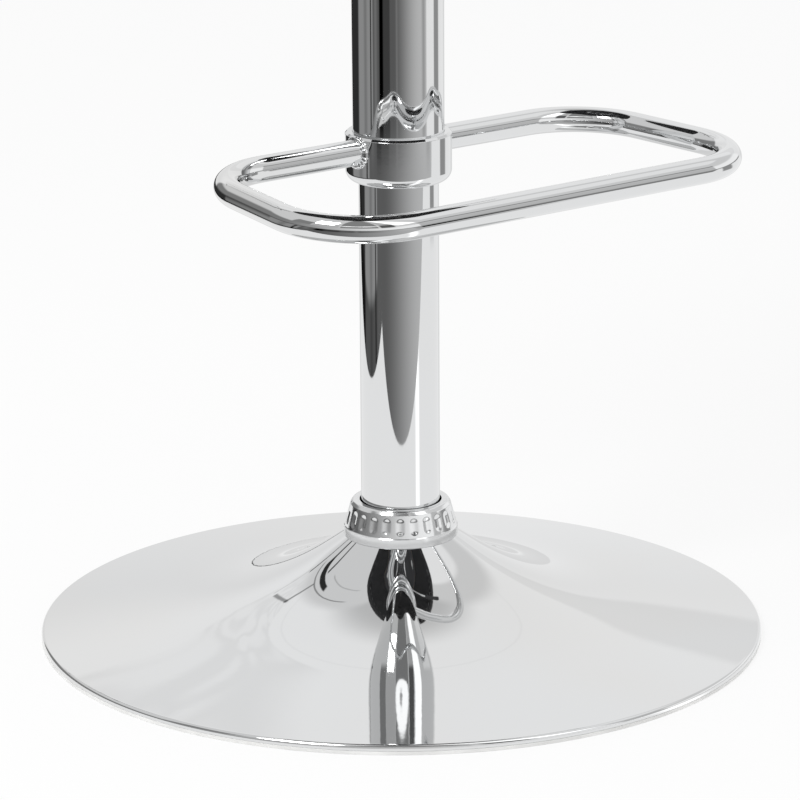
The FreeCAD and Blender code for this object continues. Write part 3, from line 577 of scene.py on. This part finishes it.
def neck_cover():
    """Turned profile with capsule dimples in its cone. A dimple's depth at distance g from its middle line
    is d (1 - (g / R)^2)^2, so that it runs out softly."""
    z0 = neck_height
    z1 = z0 + cover_foot
    z2 = z1 + cover_cone
    z3 = z2 + cover_crown
    bore = post_radius + 0.9
    foot = neck_radius - 0.7
    top = neck_radius - 4.3
    p, n = runs([(foot - cover_wall, z0), (foot + cover_bead, z0), (foot + cover_bead, z1 - 0.6),
                 (foot + 0.15, z1 + 0.2), (top, z2), (top - crown_width, z3), (bore, z3),
                 (bore, z2 - crown_wall), (top - cover_wall, z2 - crown_wall), (foot - cover_wall, z1)],
                [0.2, 0.5, 0.4, 0.3, 1.2, 1.6, 0.5, 0.2, 0.2, 0.2], True, 6)
    # Short steps where the dimples are
    fine = []
    for i in range(len(p)):
        after = (i + 1) % len(p)
        dimpled = p[i][0] > top - 1 and p[i][1] > z1 - 1
        steps = max(1, int(np.linalg.norm(p[after] - p[i]) / DIMPLE_STEP)) if dimpled else 1
        share = np.linspace(0, 1, steps, endpoint=False)[:, None]
        fine.append(np.hstack([q[i] * (1 - share) + q[after] * share for q in (p, n)]))
    fine = np.concatenate(fine)
    p, n = fine[:, :2], fine[:, 2:]
    columns = DIMPLES * DIMPLE_COLUMNS
    a = np.linspace(0, TAU, columns, endpoint=False)
    pitch = TAU / DIMPLES
    across = (np.mod(a + DIMPLE_TURN, pitch) - pitch / 2)[None] * p[:, :1]
    middle = np.array([(foot + top) / 2, (z1 + z2) / 2])
    lean = np.array([top - foot, z2 - z1])
    length = np.linalg.norm(lean)
    along = ((p - middle) @ (lean / length))[:, None]
    outside = p[:, 0] > middle[0] - 2.6
    on_cone = (outside & (np.abs(along[:, 0]) < length / 2))[:, None]
    over = np.maximum(0, np.abs(along) - DIMPLE_STRAIGHT)
    gap = np.sqrt(across ** 2 + over ** 2)
    depth = DIMPLE_DEPTH * np.clip(1 - (gap / DIMPLE_RADIUS) ** 2, 0, 1) ** 2
    depth = np.where(on_cone, depth, 0)
    r = p[:, :1] - depth * n[:, :1]
    z = p[:, 1:] - depth * n[:, 1:]
    points = np.stack([r * np.cos(a), r * np.sin(a), z * np.ones(columns)], -1) * MM
    return points, quads(len(p), columns, True, True)


piece("neck_ring", neck_cover(), "base", "chrome", ("ring_cover",),
      plating("ring_chrome", 0.74, 0.15, 0.004, 0.004, satin_height))


# Column

tube_wall, tube_edge = 1.5, 0.4
tube_columns = 160


def pipe(node):
    """Straight tube as a turned profile with eased edges."""
    r = reach(node)
    z0, z1 = heights(node)
    corners = [(r - tube_wall, z0), (r, z0), (r, z1), (r - tube_wall, z1)]
    return turned(corners, [tube_edge] * 4, tube_columns, 15)


piece("lower_tube", pipe("post_tube"), "base", "chrome", ("post_tube",))
piece("upper_tube", pipe("sleeve_tube"), "seat", "chrome", ("sleeve_tube",))

collar_radius = reach("footrest_collar")
collar_low, collar_top = heights("footrest_collar")
collar_bevel = 1.4
lip_top, lip_roll = collar_low + 7.3, 7.25
lip_bore = post_radius + 0.5
sleeve_bore = sleeve_radius + 0.05
piece("collar", turned(
    [(lip_bore, collar_low), (collar_radius, collar_low), (collar_radius, collar_top - collar_bevel),
     (collar_radius - collar_bevel, collar_top), (sleeve_bore, collar_top), (sleeve_bore, lip_top),
     (lip_bore, lip_top)],
    [0.2, lip_roll, 0.4, 0.4, 0.3, 0.1, 0.1], tube_columns, 5),
    "seat", "chrome", ("footrest_collar",), collar_chrome)

trim_radius = reach("top_collar")
trim_low, trim_top = heights("top_collar")
trim_roll = 2.8
piece("top_trim", turned(
    [(sleeve_bore, trim_low), (trim_radius, trim_low), (trim_radius, trim_top), (sleeve_bore, trim_top)],
    [0.3, trim_roll, 0.4, 0.2], tube_columns, 5), "seat", "chrome", ("top_collar",))


# Footrest: height of its bar at the column, half widths at the back and the front, reach and fall to the
# front, and the radius of its bends

footrest_height = 309.0
footrest_back = 147.5
footrest_front = 166.7
footrest_reach = 152.7
footrest_fall = math.tan(math.radians(1.95))
footrest_bend = 51.3
tube_radius = 8.0
tube_entry = 3.5
bead_radius = 1.45
bead_off_tube, bead_off_collar = 0.5, 0.3


def loop_bar():
    """The bent tube: straight runs and arcs in the footrest's plane, which falls towards the front, with
    the round section swept along them."""
    start = collar_radius - tube_entry
    p, _ = runs([(-start, 0), (-footrest_back, 0), (-footrest_front, -footrest_reach),
                 (footrest_front, -footrest_reach), (footrest_back, 0), (start, 0)],
                [0] + [footrest_bend] * 4 + [0], False, 2)
    path = np.column_stack([p, footrest_height + p[:, 1] * footrest_fall])
    ahead = unit(np.gradient(path, axis=0))
    up = np.tile(unit(np.array([0.0, -footrest_fall, 1.0])), (len(p), 1))
    return tube(path, np.cross(ahead, up), up, tube_radius, False, 48)


piece("footrest_bar", loop_bar(), "seat", "chrome", ("footrest_loop",))


def weld_bead(sign):
    """Bead along the line where bar and collar meet: x^2 = R^2 - (r cos a)^2, y = r cos a, z = r sin a.
    Its radius swells from one drop of weld to the next, by a sum of three waves in a."""
    a = np.linspace(0, TAU, 180, endpoint=False)
    r = tube_radius + bead_off_tube
    x = np.sqrt((collar_radius + bead_off_collar) ** 2 - (r * np.cos(a)) ** 2)
    path = np.stack([sign * x, r * np.cos(a), footrest_height + r * np.sin(a)], -1)
    ahead = unit(np.roll(path, -1, 0) - np.roll(path, 1, 0))
    side = unit(np.cross(ahead, np.stack([np.zeros_like(a), np.cos(a), np.sin(a)], -1)))
    up = np.cross(side, ahead)
    drops = 0.28 * np.abs(np.sin(9.5 * a + sign))
    swell = drops + 0.16 * np.sin(5 * a + 1.3 * sign) + 0.1 * np.sin(23 * a)
    return tube(path, side, up, bead_radius, True, 14, swell)


piece("weld_beads", joined(weld_bead(-1), weld_bead(1))[:2], "seat", "chrome", ("footrest_welds",),
      plating("weld_chrome", 0.72, 0.09))


# Release lever: a rod that is cranked down between two bends, with a barrel on the pin, a nose over the
# button and a grip

pivot = (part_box("lever_pin")[0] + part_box("lever_pin")[1]) / 2 / MM
exit_height = pivot.z - 2.0
low_height = pivot.z - 32.0
lever_end = reach("lever_grip")
rod_radius = 4.0
crank_start, crank_end, crank_bend = 46.0, 118.0, 24.0
barrel_bore, barrel_radius, barrel_half = 2.56, 5.6, 7.0
nose_radius, nose_half = 3.0, 4.9
grip_length, grip_radius, grip_wall = 68.0, 8.0, 1.4
grip_bore = rod_radius + 0.05
# The grip's outline: place along it, share of its radius, and rounding
GRIP = [(0, 0.8, 0.8), (3, 1.0, 1.2), (7, 0.9, 2.0), (34, 0.82, 60.0), (63, 1.0, 3.0), (68, 0.9, 2.5)]
# Radius and rounding of a profile's end at its own axis
AXIS, AXIS_EASE = 0.02, 0.005


def lever_bar():
    """Cranked rod in the plane of the column and the lever."""
    p, n = runs([(pivot.x + 1, exit_height), (crank_start, exit_height), (crank_end, low_height),
                 (lever_end - grip_wall, low_height)], [0, crank_bend, crank_bend, 0], False, 2)
    path = np.column_stack([p[:, 0], np.zeros(len(p)), p[:, 1]])
    side = np.column_stack([n[:, 0], np.zeros(len(n)), n[:, 1]])
    up = np.tile([0.0, 1.0, 0.0], (len(n), 1))
    return tube(path, side, up, rod_radius, False, 32)


barrel = turned([(barrel_bore, -barrel_half), (barrel_radius, -barrel_half), (barrel_radius, barrel_half),
                 (barrel_bore, barrel_half)], [0.2, 0.6, 0.6, 0.2], 48, 15, (pivot.x, 0, pivot.z), "y")
nose = turned([(AXIS / 2, -nose_half), (nose_radius, -nose_half), (nose_radius, nose_half),
               (AXIS / 2, nose_half)], [AXIS_EASE, 0.5, 0.5, AXIS_EASE], 32, 15, (0, 0, pivot.z), "y")
piece("lever_bar", joined(lever_bar(), barrel, nose), "lever", "polished_rod", ("lever_rod",))

grip_floor = grip_length - grip_wall
grip = turned([(grip_bore, 0)] + [(grip_radius * share, place) for place, share, _ in GRIP]
              + [(AXIS, grip_length), (AXIS, grip_floor), (grip_bore, grip_floor)],
              [0.1] + [rounding for _, _, rounding in GRIP] + [AXIS_EASE, AXIS_EASE, 0.1],
              64, 8, (lever_end - grip_length, 0, low_height), "x")
piece("lever_handle", grip, "lever", "grip_plastic", ("lever_grip",))


# Seat: a board in a pocket of the cover, whose hem is stapled under it, sides, a seam with piping, a crown

board_low, board_top = heights("seat_board")
board_half, board_corner = reach("seat_board") + 0.3, 96.3
pocket_top = board_top + 0.05
hem_low = board_low - 1.6
hem_half, hem_corner = reach("seat_board") - 24.0, 72.0
seam_height = board_low + 66.0
seam_half, seam_corner = 193.0, 104.0
crown_rise, edge_rise = 18.5, 4.0
piping_radius, piping_offset = 2.5, 1.7
grid = 76


def square_ring(share):
    """Outline of the square |s|, |t| <= 1, side by side, at shares from -1 to 1 of the way along each."""
    one = np.ones(len(share))
    return np.hstack([(one, share), (-share, one), (-one, -share), (share, -one)])


def rounded_ring(q, half, corner):
    """One side of a rounded square at shares q of the way from corner to corner, x being the far side.
    On the straight part y is the way itself, and on the arcs the angle is the rest of the way over the
    corner's radius."""
    straight = half - corner
    way = q * (straight + corner * math.pi / 4)
    angle = np.maximum(0, np.abs(way) - straight) / np.maximum(corner, 1e-9)
    x = np.where(angle > 0, straight + corner * np.cos(angle), half)
    y = np.where(angle > 0, np.sign(way) * (straight + corner * np.sin(angle)), way)
    return x, y


def rounded_field(s, t, half, corner):
    """The square |s|, |t| <= 1 drawn over a rounded square, whose shape every ring of equal
    rho = max(|s|, |t|) keeps."""
    rho = np.maximum(np.abs(s), np.abs(t))
    safe = np.maximum(rho, 1e-9)
    on_x = np.abs(s) >= np.abs(t)
    q = np.where(on_x, t, s) / safe
    far, side = rounded_ring(q, half * rho, corner * rho)
    x = np.where(on_x, np.sign(s) * far, side)
    y = np.where(on_x, side, np.sign(t) * far)
    return x, y, rho


def seat_panels():
    """Closed seat form: pocket for the board, hem, sides and crowned top, all on one ring of columns. The
    top's height over the seam is a (1 - rho^2.3) + b (1 - rho^10)."""
    line = np.linspace(-1, 1, grid + 1)
    s, t = np.meshgrid(line, line, indexing="ij")
    x, y, rho = rounded_field(s, t, seam_half, seam_corner)
    crown = crown_rise * (1 - rho ** 2.3) + edge_rise * (1 - rho ** 10)
    top = np.stack([x, y, seam_height + crown], -1)
    x, y, _ = rounded_field(s, t, board_half, board_corner)
    pocket = np.stack([x, y, np.full_like(x, pocket_top)], -1)
    # Half width, corner radius and height of the rings from pocket to seam, and how many steps lead there
    stations = [
        (board_half, board_corner, pocket_top, 1), (board_half, board_corner, board_low, 3),
        (hem_half, hem_corner, board_low, 5), (hem_half, hem_corner, hem_low, 1),
        (189.0, 100.0, hem_low, 6), (197.5, 108.0, hem_low + 9.6, 3), (201.0, 111.5, hem_low + 25.0, 4),
        (199.0, 109.5, hem_low + 44.0, 5), (seam_half, seam_corner, seam_height, 6)]
    table = []
    for before, after in zip(stations, stations[1:]):
        share = np.linspace(0, 1, after[3], endpoint=False)[:, None]
        table.append(np.array(before[:3]) * (1 - share) + np.array(after[:3]) * share)
    table = np.concatenate(table + [np.array([stations[-1][:3]])])
    edge = square_ring(line[:-1])
    sides = []
    for half, corner, z in table:
        x, y, _ = rounded_field(*edge, half, corner)
        sides.append(np.stack([x, y, np.full_like(x, z)], -1))
    n = grid + 1
    points = np.concatenate([top.reshape(-1, 3), pocket.reshape(-1, 3), *sides])
    faces = np.concatenate([quads(n, n, False, False), quads(n, n, False, False)[:, ::-1] + n * n,
                            quads(len(table), 4 * grid, False, True) + 2 * n * n])
    return points * MM, faces


def weld(mesh):
    """Joins points that coincide and turns the faces outwards."""
    work = bmesh.new()
    work.from_mesh(mesh)
    bmesh.ops.remove_doubles(work, verts=work.verts, dist=1e-6)
    bmesh.ops.recalc_face_normals(work, faces=work.faces)
    work.to_mesh(mesh)
    work.free()
    mesh.polygons.foreach_set("use_smooth", np.ones(len(mesh.polygons), bool))


def vectors(items, name):
    """One vector of each item of a mesh, as an array of rows."""
    found = np.empty(len(items) * 3)
    items.foreach_get(name, found)
    return found.reshape(-1, 3)


def seam_distance(p):
    """Distance of points from the seam, by Pythagoras from the distance to its rounded square in plan and
    the height over it."""
    q = np.abs(p[:, :2]) - (seam_half - seam_corner)
    outside = np.hypot(np.maximum(q[:, 0], 0), np.maximum(q[:, 1], 0))
    inside = np.minimum(np.maximum(q[:, 0], q[:, 1]), 0)
    return np.hypot(outside + inside - seam_corner, p[:, 2] - seam_height)


CLOTH_FRAMES = 20


def inflate(thing, held, most):
    """Cloth under air pressure, held where the cover is sewn or stapled, moved at most so far."""
    rest = vectors(thing.data.vertices, "co")
    group = thing.vertex_groups.new(name="held")
    group.add(np.nonzero(held)[0].tolist(), 1.0, "REPLACE")
    cloth = thing.modifiers.new("cloth", "CLOTH")
    cloth.settings.vertex_group_mass = "held"
    cloth.settings.quality = 6
    cloth.settings.mass = 0.3
    cloth.settings.tension_stiffness = 12
    cloth.settings.compression_stiffness = 12
    cloth.settings.shear_stiffness = 6
    cloth.settings.bending_stiffness = 1.5
    cloth.settings.use_pressure = True
    cloth.settings.uniform_pressure_force = 4.0
    cloth.settings.effector_weights.gravity = 0.0
    cloth.collision_settings.use_collision = False
    for step in range(CLOTH_FRAMES):
        scene.frame_set(step + 1)
    shaped = thing.evaluated_get(bpy.context.evaluated_depsgraph_get())
    moved = vectors(shaped.data.vertices, "co") - rest
    size = np.linalg.norm(moved, axis=1)[:, None]
    moved *= np.minimum(1.0, most * MM / np.maximum(size, 1e-9))
    thing.modifiers.remove(cloth)
    thing.vertex_groups.clear()
    scene.frame_set(1)
    thing.data.vertices.foreach_set("co", (rest + moved).ravel())
    thing.data.update()


points, faces = seat_panels()
cushion_mesh = mesh_of("cushion", points, faces)
weld(cushion_mesh)
cushion_mesh.materials.append(finishes["vinyl"])
cushion = placed("cushion", cushion_mesh)
p = vectors(cushion_mesh.vertices, "co") / MM
in_plan = np.maximum(np.abs(p[:, 0]), np.abs(p[:, 1])) < board_half + 0.7
on_board = (p[:, 2] < board_top + 1) & in_plan
stapled = p[:, 2] < hem_low + 2
sewn = np.abs(p[:, 2] - seam_height) < 0.3
inflate(cushion, stapled | on_board | sewn, 9.0)


def dress_seam(mesh):
    """Moves the cover along its normals. With d the distance from the seam, h the height over the hem and
    c rising from 0 to 1 round the corners: a groove of e^(-(d / w)^2) at the seam, puckers
    (a + b c) e^(-d / w) (1 - e^(-d / v)) and tucks (a + b c) e^(-h / w), both times waves along the seam,
    and a slow sway of the top."""
    p = vectors(mesh.vertices, "co")
    normals = vectors(mesh.vertex_normals, "vector")
    x, y, z = (p / MM).T
    d = seam_distance(p / MM)
    a = np.arctan2(y, x)
    corner = np.clip((np.minimum(np.abs(x), np.abs(y)) - 95) / 60, 0, 1)
    wave = np.sin(a * 76 + 1.7 * np.sin(a * 5)) * 0.6 + np.sin(a * 119 + 2.0 * np.sin(a * 3)) * 0.4
    over_hem = z - hem_low - 3
    free = z > hem_low + 3
    groove = -1.3 * np.exp(-(d / 3.2) ** 2)
    puckers = wave * (0.40 + 1.45 * corner) * np.exp(-d / 16.0) * (1 - np.exp(-d / 2.5))
    foot = np.clip(over_hem / 8, 0, 1) * np.exp(-over_hem / 14)
    tucks = np.where(z < seam_height - 8, foot * wave * (0.25 + 0.8 * corner), 0)
    sway = np.sin(x / 61 + 0.6) * np.sin(y / 53 + 1.9) * 0.7 * (z > seam_height + 3)
    shift = np.where(free, puckers + groove + tucks + sway, 0) * MM
    mesh.vertices.foreach_set("co", (p + normals * shift[:, None]).ravel())
    mesh.update()


dress_seam(cushion_mesh)
smooth = cushion.modifiers.new("smooth", "SUBSURF")
smooth.levels = smooth.render_levels = 1
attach(cushion, "seat")
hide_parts("seat_cover", "seat_foam")


def piping():
    """Covered cord round the seam: the seam's rounded square set outwards, with a round section carried
    along it."""
    edge = square_ring(np.linspace(-1, 1, 120, endpoint=False))
    x, y, _ = rounded_field(*edge, seam_half + piping_offset, seam_corner + piping_offset)
    path = np.stack([x, y, np.full_like(x, seam_height)], -1)
    ahead = unit(np.roll(path, -1, 0) - np.roll(path, 1, 0))
    side = np.stack([ahead[:, 1], -ahead[:, 0], np.zeros(len(x))], -1)
    up = np.tile([0.0, 0.0, 1.0], (len(x), 1))
    return tube(path, side, up, piping_radius, True, 20)


piece("piping", piping(), "seat", "vinyl", ("welt_piping",))

staple_half, staple_corner = reach("seat_board") - 14.0, 82.0
staple_low = hem_low - 0.8
staples_a_side, staple_shift = 14, 0.07
wire_radius, wire_sides = 0.32, 6
# A staple's outline: place along it and height, from the end of one leg to the end of the other
STAPLE = np.array([(-5.0, 1.0), (-5.0, -0.45), (-4.6, -0.75), (4.6, -0.75), (5.0, -0.45), (5.0, 1.0)])


def staples():
    """Staples round the dust cover. Each is its outline with a round section of wire, set along a rounded
    square: the place there, plus the way along it times the length, plus the way across it times the
    section's width."""
    edge = square_ring(np.linspace(-1, 1, staples_a_side, endpoint=False) + staple_shift)
    on_x = np.abs(edge[0]) >= np.abs(edge[1])
    further = edge + np.where(on_x, [[0], [1e-4]], [[1e-4], [0]])
    x, y, _ = rounded_field(*edge, staple_half, staple_corner)
    x2, y2, _ = rounded_field(*further, staple_half, staple_corner)
    way = unit(np.stack([x2 - x, y2 - y], -1))
    across = np.stack([-way[:, 1], way[:, 0]], -1)
    a = np.linspace(0, TAU, wire_sides, endpoint=False) + 0.5
    section = np.stack([np.cos(a), np.sin(a)], -1) * wire_radius
    leg = np.abs(STAPLE[:, :1]) > 4.8
    length = STAPLE[:, :1] + np.where(leg, section[:, 0], 0)
    height = STAPLE[:, 1:] + np.where(leg, 0, section[:, 0])
    points = np.zeros((len(x), *length.shape, 3))
    points[..., :2] = (np.stack([x, y], -1)[:, None, None] + way[:, None, None] * length[..., None]
                       + across[:, None, None] * section[:, 1:])
    points[..., 2] = staple_low + height
    one = quads(len(STAPLE), wire_sides, False, True)
    faces = (one[None] + (np.arange(len(x)) * length.size)[:, None, None]).reshape(-1, 4)
    return points * MM, faces


piece("staples", staples(), "seat", "zinc_steel")


# Studio. turn_by is a direction in degrees about the column: 0 towards the camera, 90 to the camera's right,
# -90 to its left and 180 behind

def studio_axes(where):
    """A vector's parts to the camera's right and towards the camera, and its direction."""
    x, y = where.part(0), where.part(1)
    u = x * RIGHT[0] + y * RIGHT[1]
    v = x * NEAR[0] + y * NEAR[1]
    return u, v, u.math("ARCTAN2", v) * (180 / math.pi)


def ray_kinds(w):
    """1 for the camera's own rays, and 1 for those mirrored by metal (socket 3) or let through by glass
    (socket 6)."""
    return w.node("LightPath", 0), w.node("LightPath", 3) + w.node("LightPath", 6)


# Marks of the dim studio seen far beyond the table: from, to and softness in degrees, then change of tone
FAR_MARKS = [
    (-45.0, -39.0, 4.0, -0.12),
    (-35.0, -22.0, 4.0, -0.065),
    (-57.0, -57.0, 7.0, 0.08),
    (-3.0, -3.0, 4.0, 0.07),
    (66.0, 66.0, 8.0, -0.20)]
TABLE_LEFT, TABLE_FRONT, TABLE_SKEW = -0.615, 0.449, 0.068
EDGE_SOFT = 0.003


def floor_surface():
    """White table for the eye and for light. In polished metal it shows its real size, with its front edge
    0.45 m from the column and its left one at 0.62 m, and the dim studio past its edges."""
    material = bpy.data.materials.new("studio_floor")
    w = cleared(material)
    u, v, turn_by = studio_axes(places(w))
    away = (u * u + v * v).math("SQRT")
    # In front: a grey that brightens to the right, darker and with its marks further off, then white
    near_tone = turn_by.step(-45.0, 70.0, 0.13, 0.58)
    far_tone = turn_by.step(-12.0, 60.0, 0.12, 0.60)
    for start, end, soft, change in FAR_MARKS:
        far_tone = far_tone + turn_by.band(start, end, soft) * change
    far = away.step(1.30, 1.60)
    dim = near_tone * (1.0 - far) + far_tone * far + turn_by.step(72.0, 77.0, 0.0, 0.40)
    dim = dim - turn_by.step(70.0, 73.0) * away.step(2.2, 2.8) * 0.75
    # On the left: a painted shadow under the table, a dark strip along its edge, then grey, with two dark
    # stands and a dark corner behind
    past = TABLE_LEFT - u
    off_left = past.step(-EDGE_SOFT, EDGE_SOFT)
    # The 0.10 near the table's edge is the painted shadow under the table
    left = past.step(0.19, 0.26, 0.10, 0.32)
    left = left * (1.0 - turn_by.near(-71.0, 3.0)) * (1.0 - turn_by.near(-88.0, 9.0) * 0.3)
    left = left * turn_by.step(-118.0, -110.0, 0.10, 1.0)
    is_left = off_left * (1.0 - turn_by.step(-67.0, -63.0))
    dim = dim * (1.0 - is_left) + left * is_left
    # The table, with a painted pool of light from the soft box and painted shade behind the column, and a
    # gap beyond it on the right
    off_front = (v + u * TABLE_SKEW).step(TABLE_FRONT - EDGE_SOFT, TABLE_FRONT + EDGE_SOFT)
    table = (1.0 - off_front) * (1.0 - off_left)
    # behind is painted shade behind the column, and bright adds a painted pool of light from the soft box at
    # 50 degrees
    behind = v.step(-0.30, -0.20, 1.0, 0.0) * turn_by.math("ABSOLUTE").step(145.0, 155.0)
    bright = turn_by.near(50.0, 9.0) * 0.7 - behind * 0.2
    tone = table * (1.0 + bright) + (1.0 - table) * dim
    right_gap = turn_by.step(98.0, 102.0) * turn_by.step(116.0, 122.0, 1.0, 0.0) * away.step(1.0, 1.2)
    tone = tone * (1.0 - right_gap) + right_gap * 0.34
    camera, glossy = ray_kinds(w)
    plain = w.node("BsdfDiffuse", Color=(0.92, 0.92, 0.92, 1))
    white = w.node("Emission", Color=(1, 1, 1, 1), Strength=1.0)
    eye = w.node("MixShader", n0=camera * 0.8, n1=plain, n2=white)
    mirror = w.node("Emission", Color=tone.grey(), Strength=1.0)
    seen = w.node("MixShader", n0=glossy, n1=eye, n2=mirror)
    # From below, where Geometry's Backfacing (socket 6) is 1, the floor is clear
    clear = w.node("BsdfTransparent")
    w.node("MixShader", n0=w.node("NewGeometry", 6), n1=seen, n2=clear).close("Material")
    return material


wide = 30.0
floor_mesh = bpy.data.meshes.new("floor")
floor_mesh.from_pydata([(-wide, -wide, 0), (wide, -wide, 0), (wide, wide, 0), (-wide, wide, 0)], [],
                       [(0, 1, 2, 3)])
floor_mesh.materials.append(floor_surface())
placed("floor", floor_mesh)


def oval(across, half_across, up, half_up):
    """1 inside an oval with a soft edge, from distances to its middle: (a / A)^2 + (b / B)^2 < 1."""
    q = (across * (1 / half_across)).math("POWER", 2.0) + (up * (1 / half_up)).math("POWER", 2.0)
    return q.step(0.75, 1.1, 1.0, 0.0)


REFLECTOR_HEIGHT = 0.575
# Dark edges of the lamps behind on the left: from and to in degrees, softness and lean, then from and to in
# height of the direction, softness and rise, then darkness
LAMP_EDGES = [
    (-142.3, -140.3, 0.5, 0.0, 0.560, 0.735, 0.015, 0.0, 0.96),
    (-149.0, -145.4, 0.5, 0.0, 0.476, 0.484, 0.006, -0.004, 0.90),
    (-157.0, -149.5, 0.5, 0.0, 0.457, 0.461, 0.006, 0.0, 0.20),
    (-156.4, -156.0, 0.5, 26.0, 0.485, 0.590, 0.010, 0.0, 0.60),
    (-154.5, -145.0, 0.5, 0.0, 0.605, 0.610, 0.006, 0.0057, 0.60),
    (-139.0, -133.5, 0.5, 0.0, 0.650, 0.660, 0.006, 0.0, 0.90),
    (-144.7, -144.5, 0.4, 0.0, 0.520, 0.850, 0.020, 0.0, 0.60),
    (-135.8, -135.5, 0.4, 0.0, 0.740, 0.900, 0.020, 0.0, 0.30)]


def studio_light():
    """Even white light. Polished metal sees a white room with a grey side towards the camera, by turn_by
    and z, the height of the direction."""
    world = bpy.data.worlds.new("studio")
    scene.world = world
    w = cleared(world)
    way = w.node("TexCoord", 0)
    z = way.part(2)
    _, _, turn_by = studio_axes(way)
    # White room behind: dimmer overhead and near the floor, a grey ledge on the right and a thin line all
    # round, with the folds of a backdrop on the left
    room = z.step(0.77, 0.92, 1.0, 0.62)
    room = room - z.step(0.20, 0.40, 1.0, 0.0) * turn_by.step(-160.0, 160.0, 0.12, 0.06)
    room = room - z.band(0.31, 0.40, 0.02) * turn_by.step(140.0, 146.0) * 0.10
    room = room - z.near(0.645, 0.006) * 0.05
    folds = w.node("TexNoise", 0, {"noise_dimensions": "3D"}, Scale=5.0, Detail=1.0, Distortion=2.0,
                   Vector=w.node("Mapping", Vector=way, Scale=(1.0, 1.0, 1.6)))
    behind_left = turn_by.band(-173.0, -150.0, 3.0) * z.band(0.44, 0.60, 0.01)
    room = room - folds.near(0.5, 0.16) * behind_left * 0.07 - behind_left * 0.02
    # Grey side towards the camera, from left to right: a dark stand, a grey wall, a round reflector with a
    # dark middle, a gap and a tall soft box that leans
    low = z.step(0.640, 0.700, 1.0, 0.0)
    front = 0.76 - turn_by.band(-80.0, -58.0, 3.0) * low * 0.50
    front = front - turn_by.band(-54.0, -24.0, 3.0) * low * 0.20
    front = front - turn_by.band(-20.0, 22.0, 2.0) * 0.48
    front = front + oval(turn_by - 1.0, 24.0, z - REFLECTOR_HEIGHT, 0.034) * 1.5
    front = front - oval(turn_by + 2.0, 8.0, z - REFLECTOR_HEIGHT, 0.0145) * 1.3
    front = front - turn_by.band(27.0, 42.0, 2.0) * low.step(0.0, 1.0, 0.2, 0.64)
    front = front + (turn_by + z * 30.0).band(66.0, 89.0, 2.0) * z.step(0.54, 0.56) * 1.1
    # Lower down the front brightens from left to right, and the far wall near the horizon is dark
    level = turn_by.step(-95.0, 60.0, 0.25, 1.10) - turn_by.band(73.0, 88.0, 3.0) * 0.50
    share = z.step(0.30, 0.42)
    front = level * (1.0 - share) + front * share
    front = front - turn_by.band(73.0, 90.0, 4.0) * z.near(0.43, 0.07) * 0.5
    front = front + turn_by.band(90.0, 128.0, 4.0) * z.step(0.63, 0.67) * 0.22
    share = z.step(0.03, 0.08)
    front = turn_by.step(-60.0, 70.0, 0.12, 0.30) * (1.0 - share) + front * share
    facing = turn_by.step(-152.0, -146.0) * turn_by.step(142.0, 150.0, 1.0, 0.0)
    tone = facing * front + (1.0 - facing) * room
    for start, end, soft, lean, bottom, top, fade, rise, dark in LAMP_EDGES:
        edge = (turn_by - (z - 0.5) * lean).band(start, end, soft)
        edge = edge * (z - (turn_by + 150.0) * rise).band(bottom, top, fade)
        tone = tone * (1.0 - edge * dark)
    camera, glossy = ray_kinds(w)
    plain = w.node("Background", Color=(1, 1, 1, 1), Strength=0.8)
    white = w.node("Background", Color=(1, 1, 1, 1), Strength=1.0)
    mirror = w.node("Background", Color=tone.grey(), Strength=1.0)
    eye = w.node("MixShader", n0=camera, n1=plain, n2=white)
    w.node("MixShader", n0=glossy, n1=eye, n2=mirror).close("World")


studio_light()
scene.view_settings.view_transform = "Standard"

# Soft box: how far it stands to the camera's right, towards the camera and up, and what it shines at
BOX_RIGHT, BOX_NEAR, BOX_UP = -1.2, 1.42, 2.3
BOX_TARGET = Vector((0, 0, 0.5))

lamp = bpy.data.lights.new("soft_box", "AREA")
lamp.shape = "RECTANGLE"
lamp.size, lamp.size_y = 0.85, 1.0
lamp.energy = 30.0
box = placed("soft_box", lamp)
box.location = (*(RIGHT[i] * BOX_RIGHT + NEAR[i] * BOX_NEAR for i in (0, 1)), BOX_UP)
box.rotation_euler = (BOX_TARGET - box.location).to_track_quat("-Z", "Y").to_euler()

# The camera looks along its own -Z, and its X and Y are level and upward before it leans
eye = bpy.data.cameras.new("camera")
eye.lens, eye.sensor_width = LENS, SENSOR
eye.clip_end = 100.0
camera = placed("camera", eye)
turned_to = Matrix.Rotation(HEADING, 3, "Z")
ahead = turned_to @ Vector((0, math.cos(PITCH), -math.sin(PITCH)))
level = turned_to @ Vector((1, 0, 0))
over = turned_to @ Vector((0, math.sin(PITCH), math.cos(PITCH)))
across = level * math.cos(ROLL) + over * math.sin(ROLL)
upward = over * math.cos(ROLL) - level * math.sin(ROLL)
pose = Matrix((across, upward, -ahead)).transposed().to_4x4()
pose.translation = turned_to @ Vector((0, -DISTANCE, HEIGHT))
camera.matrix_world = pose
scene.camera = camera
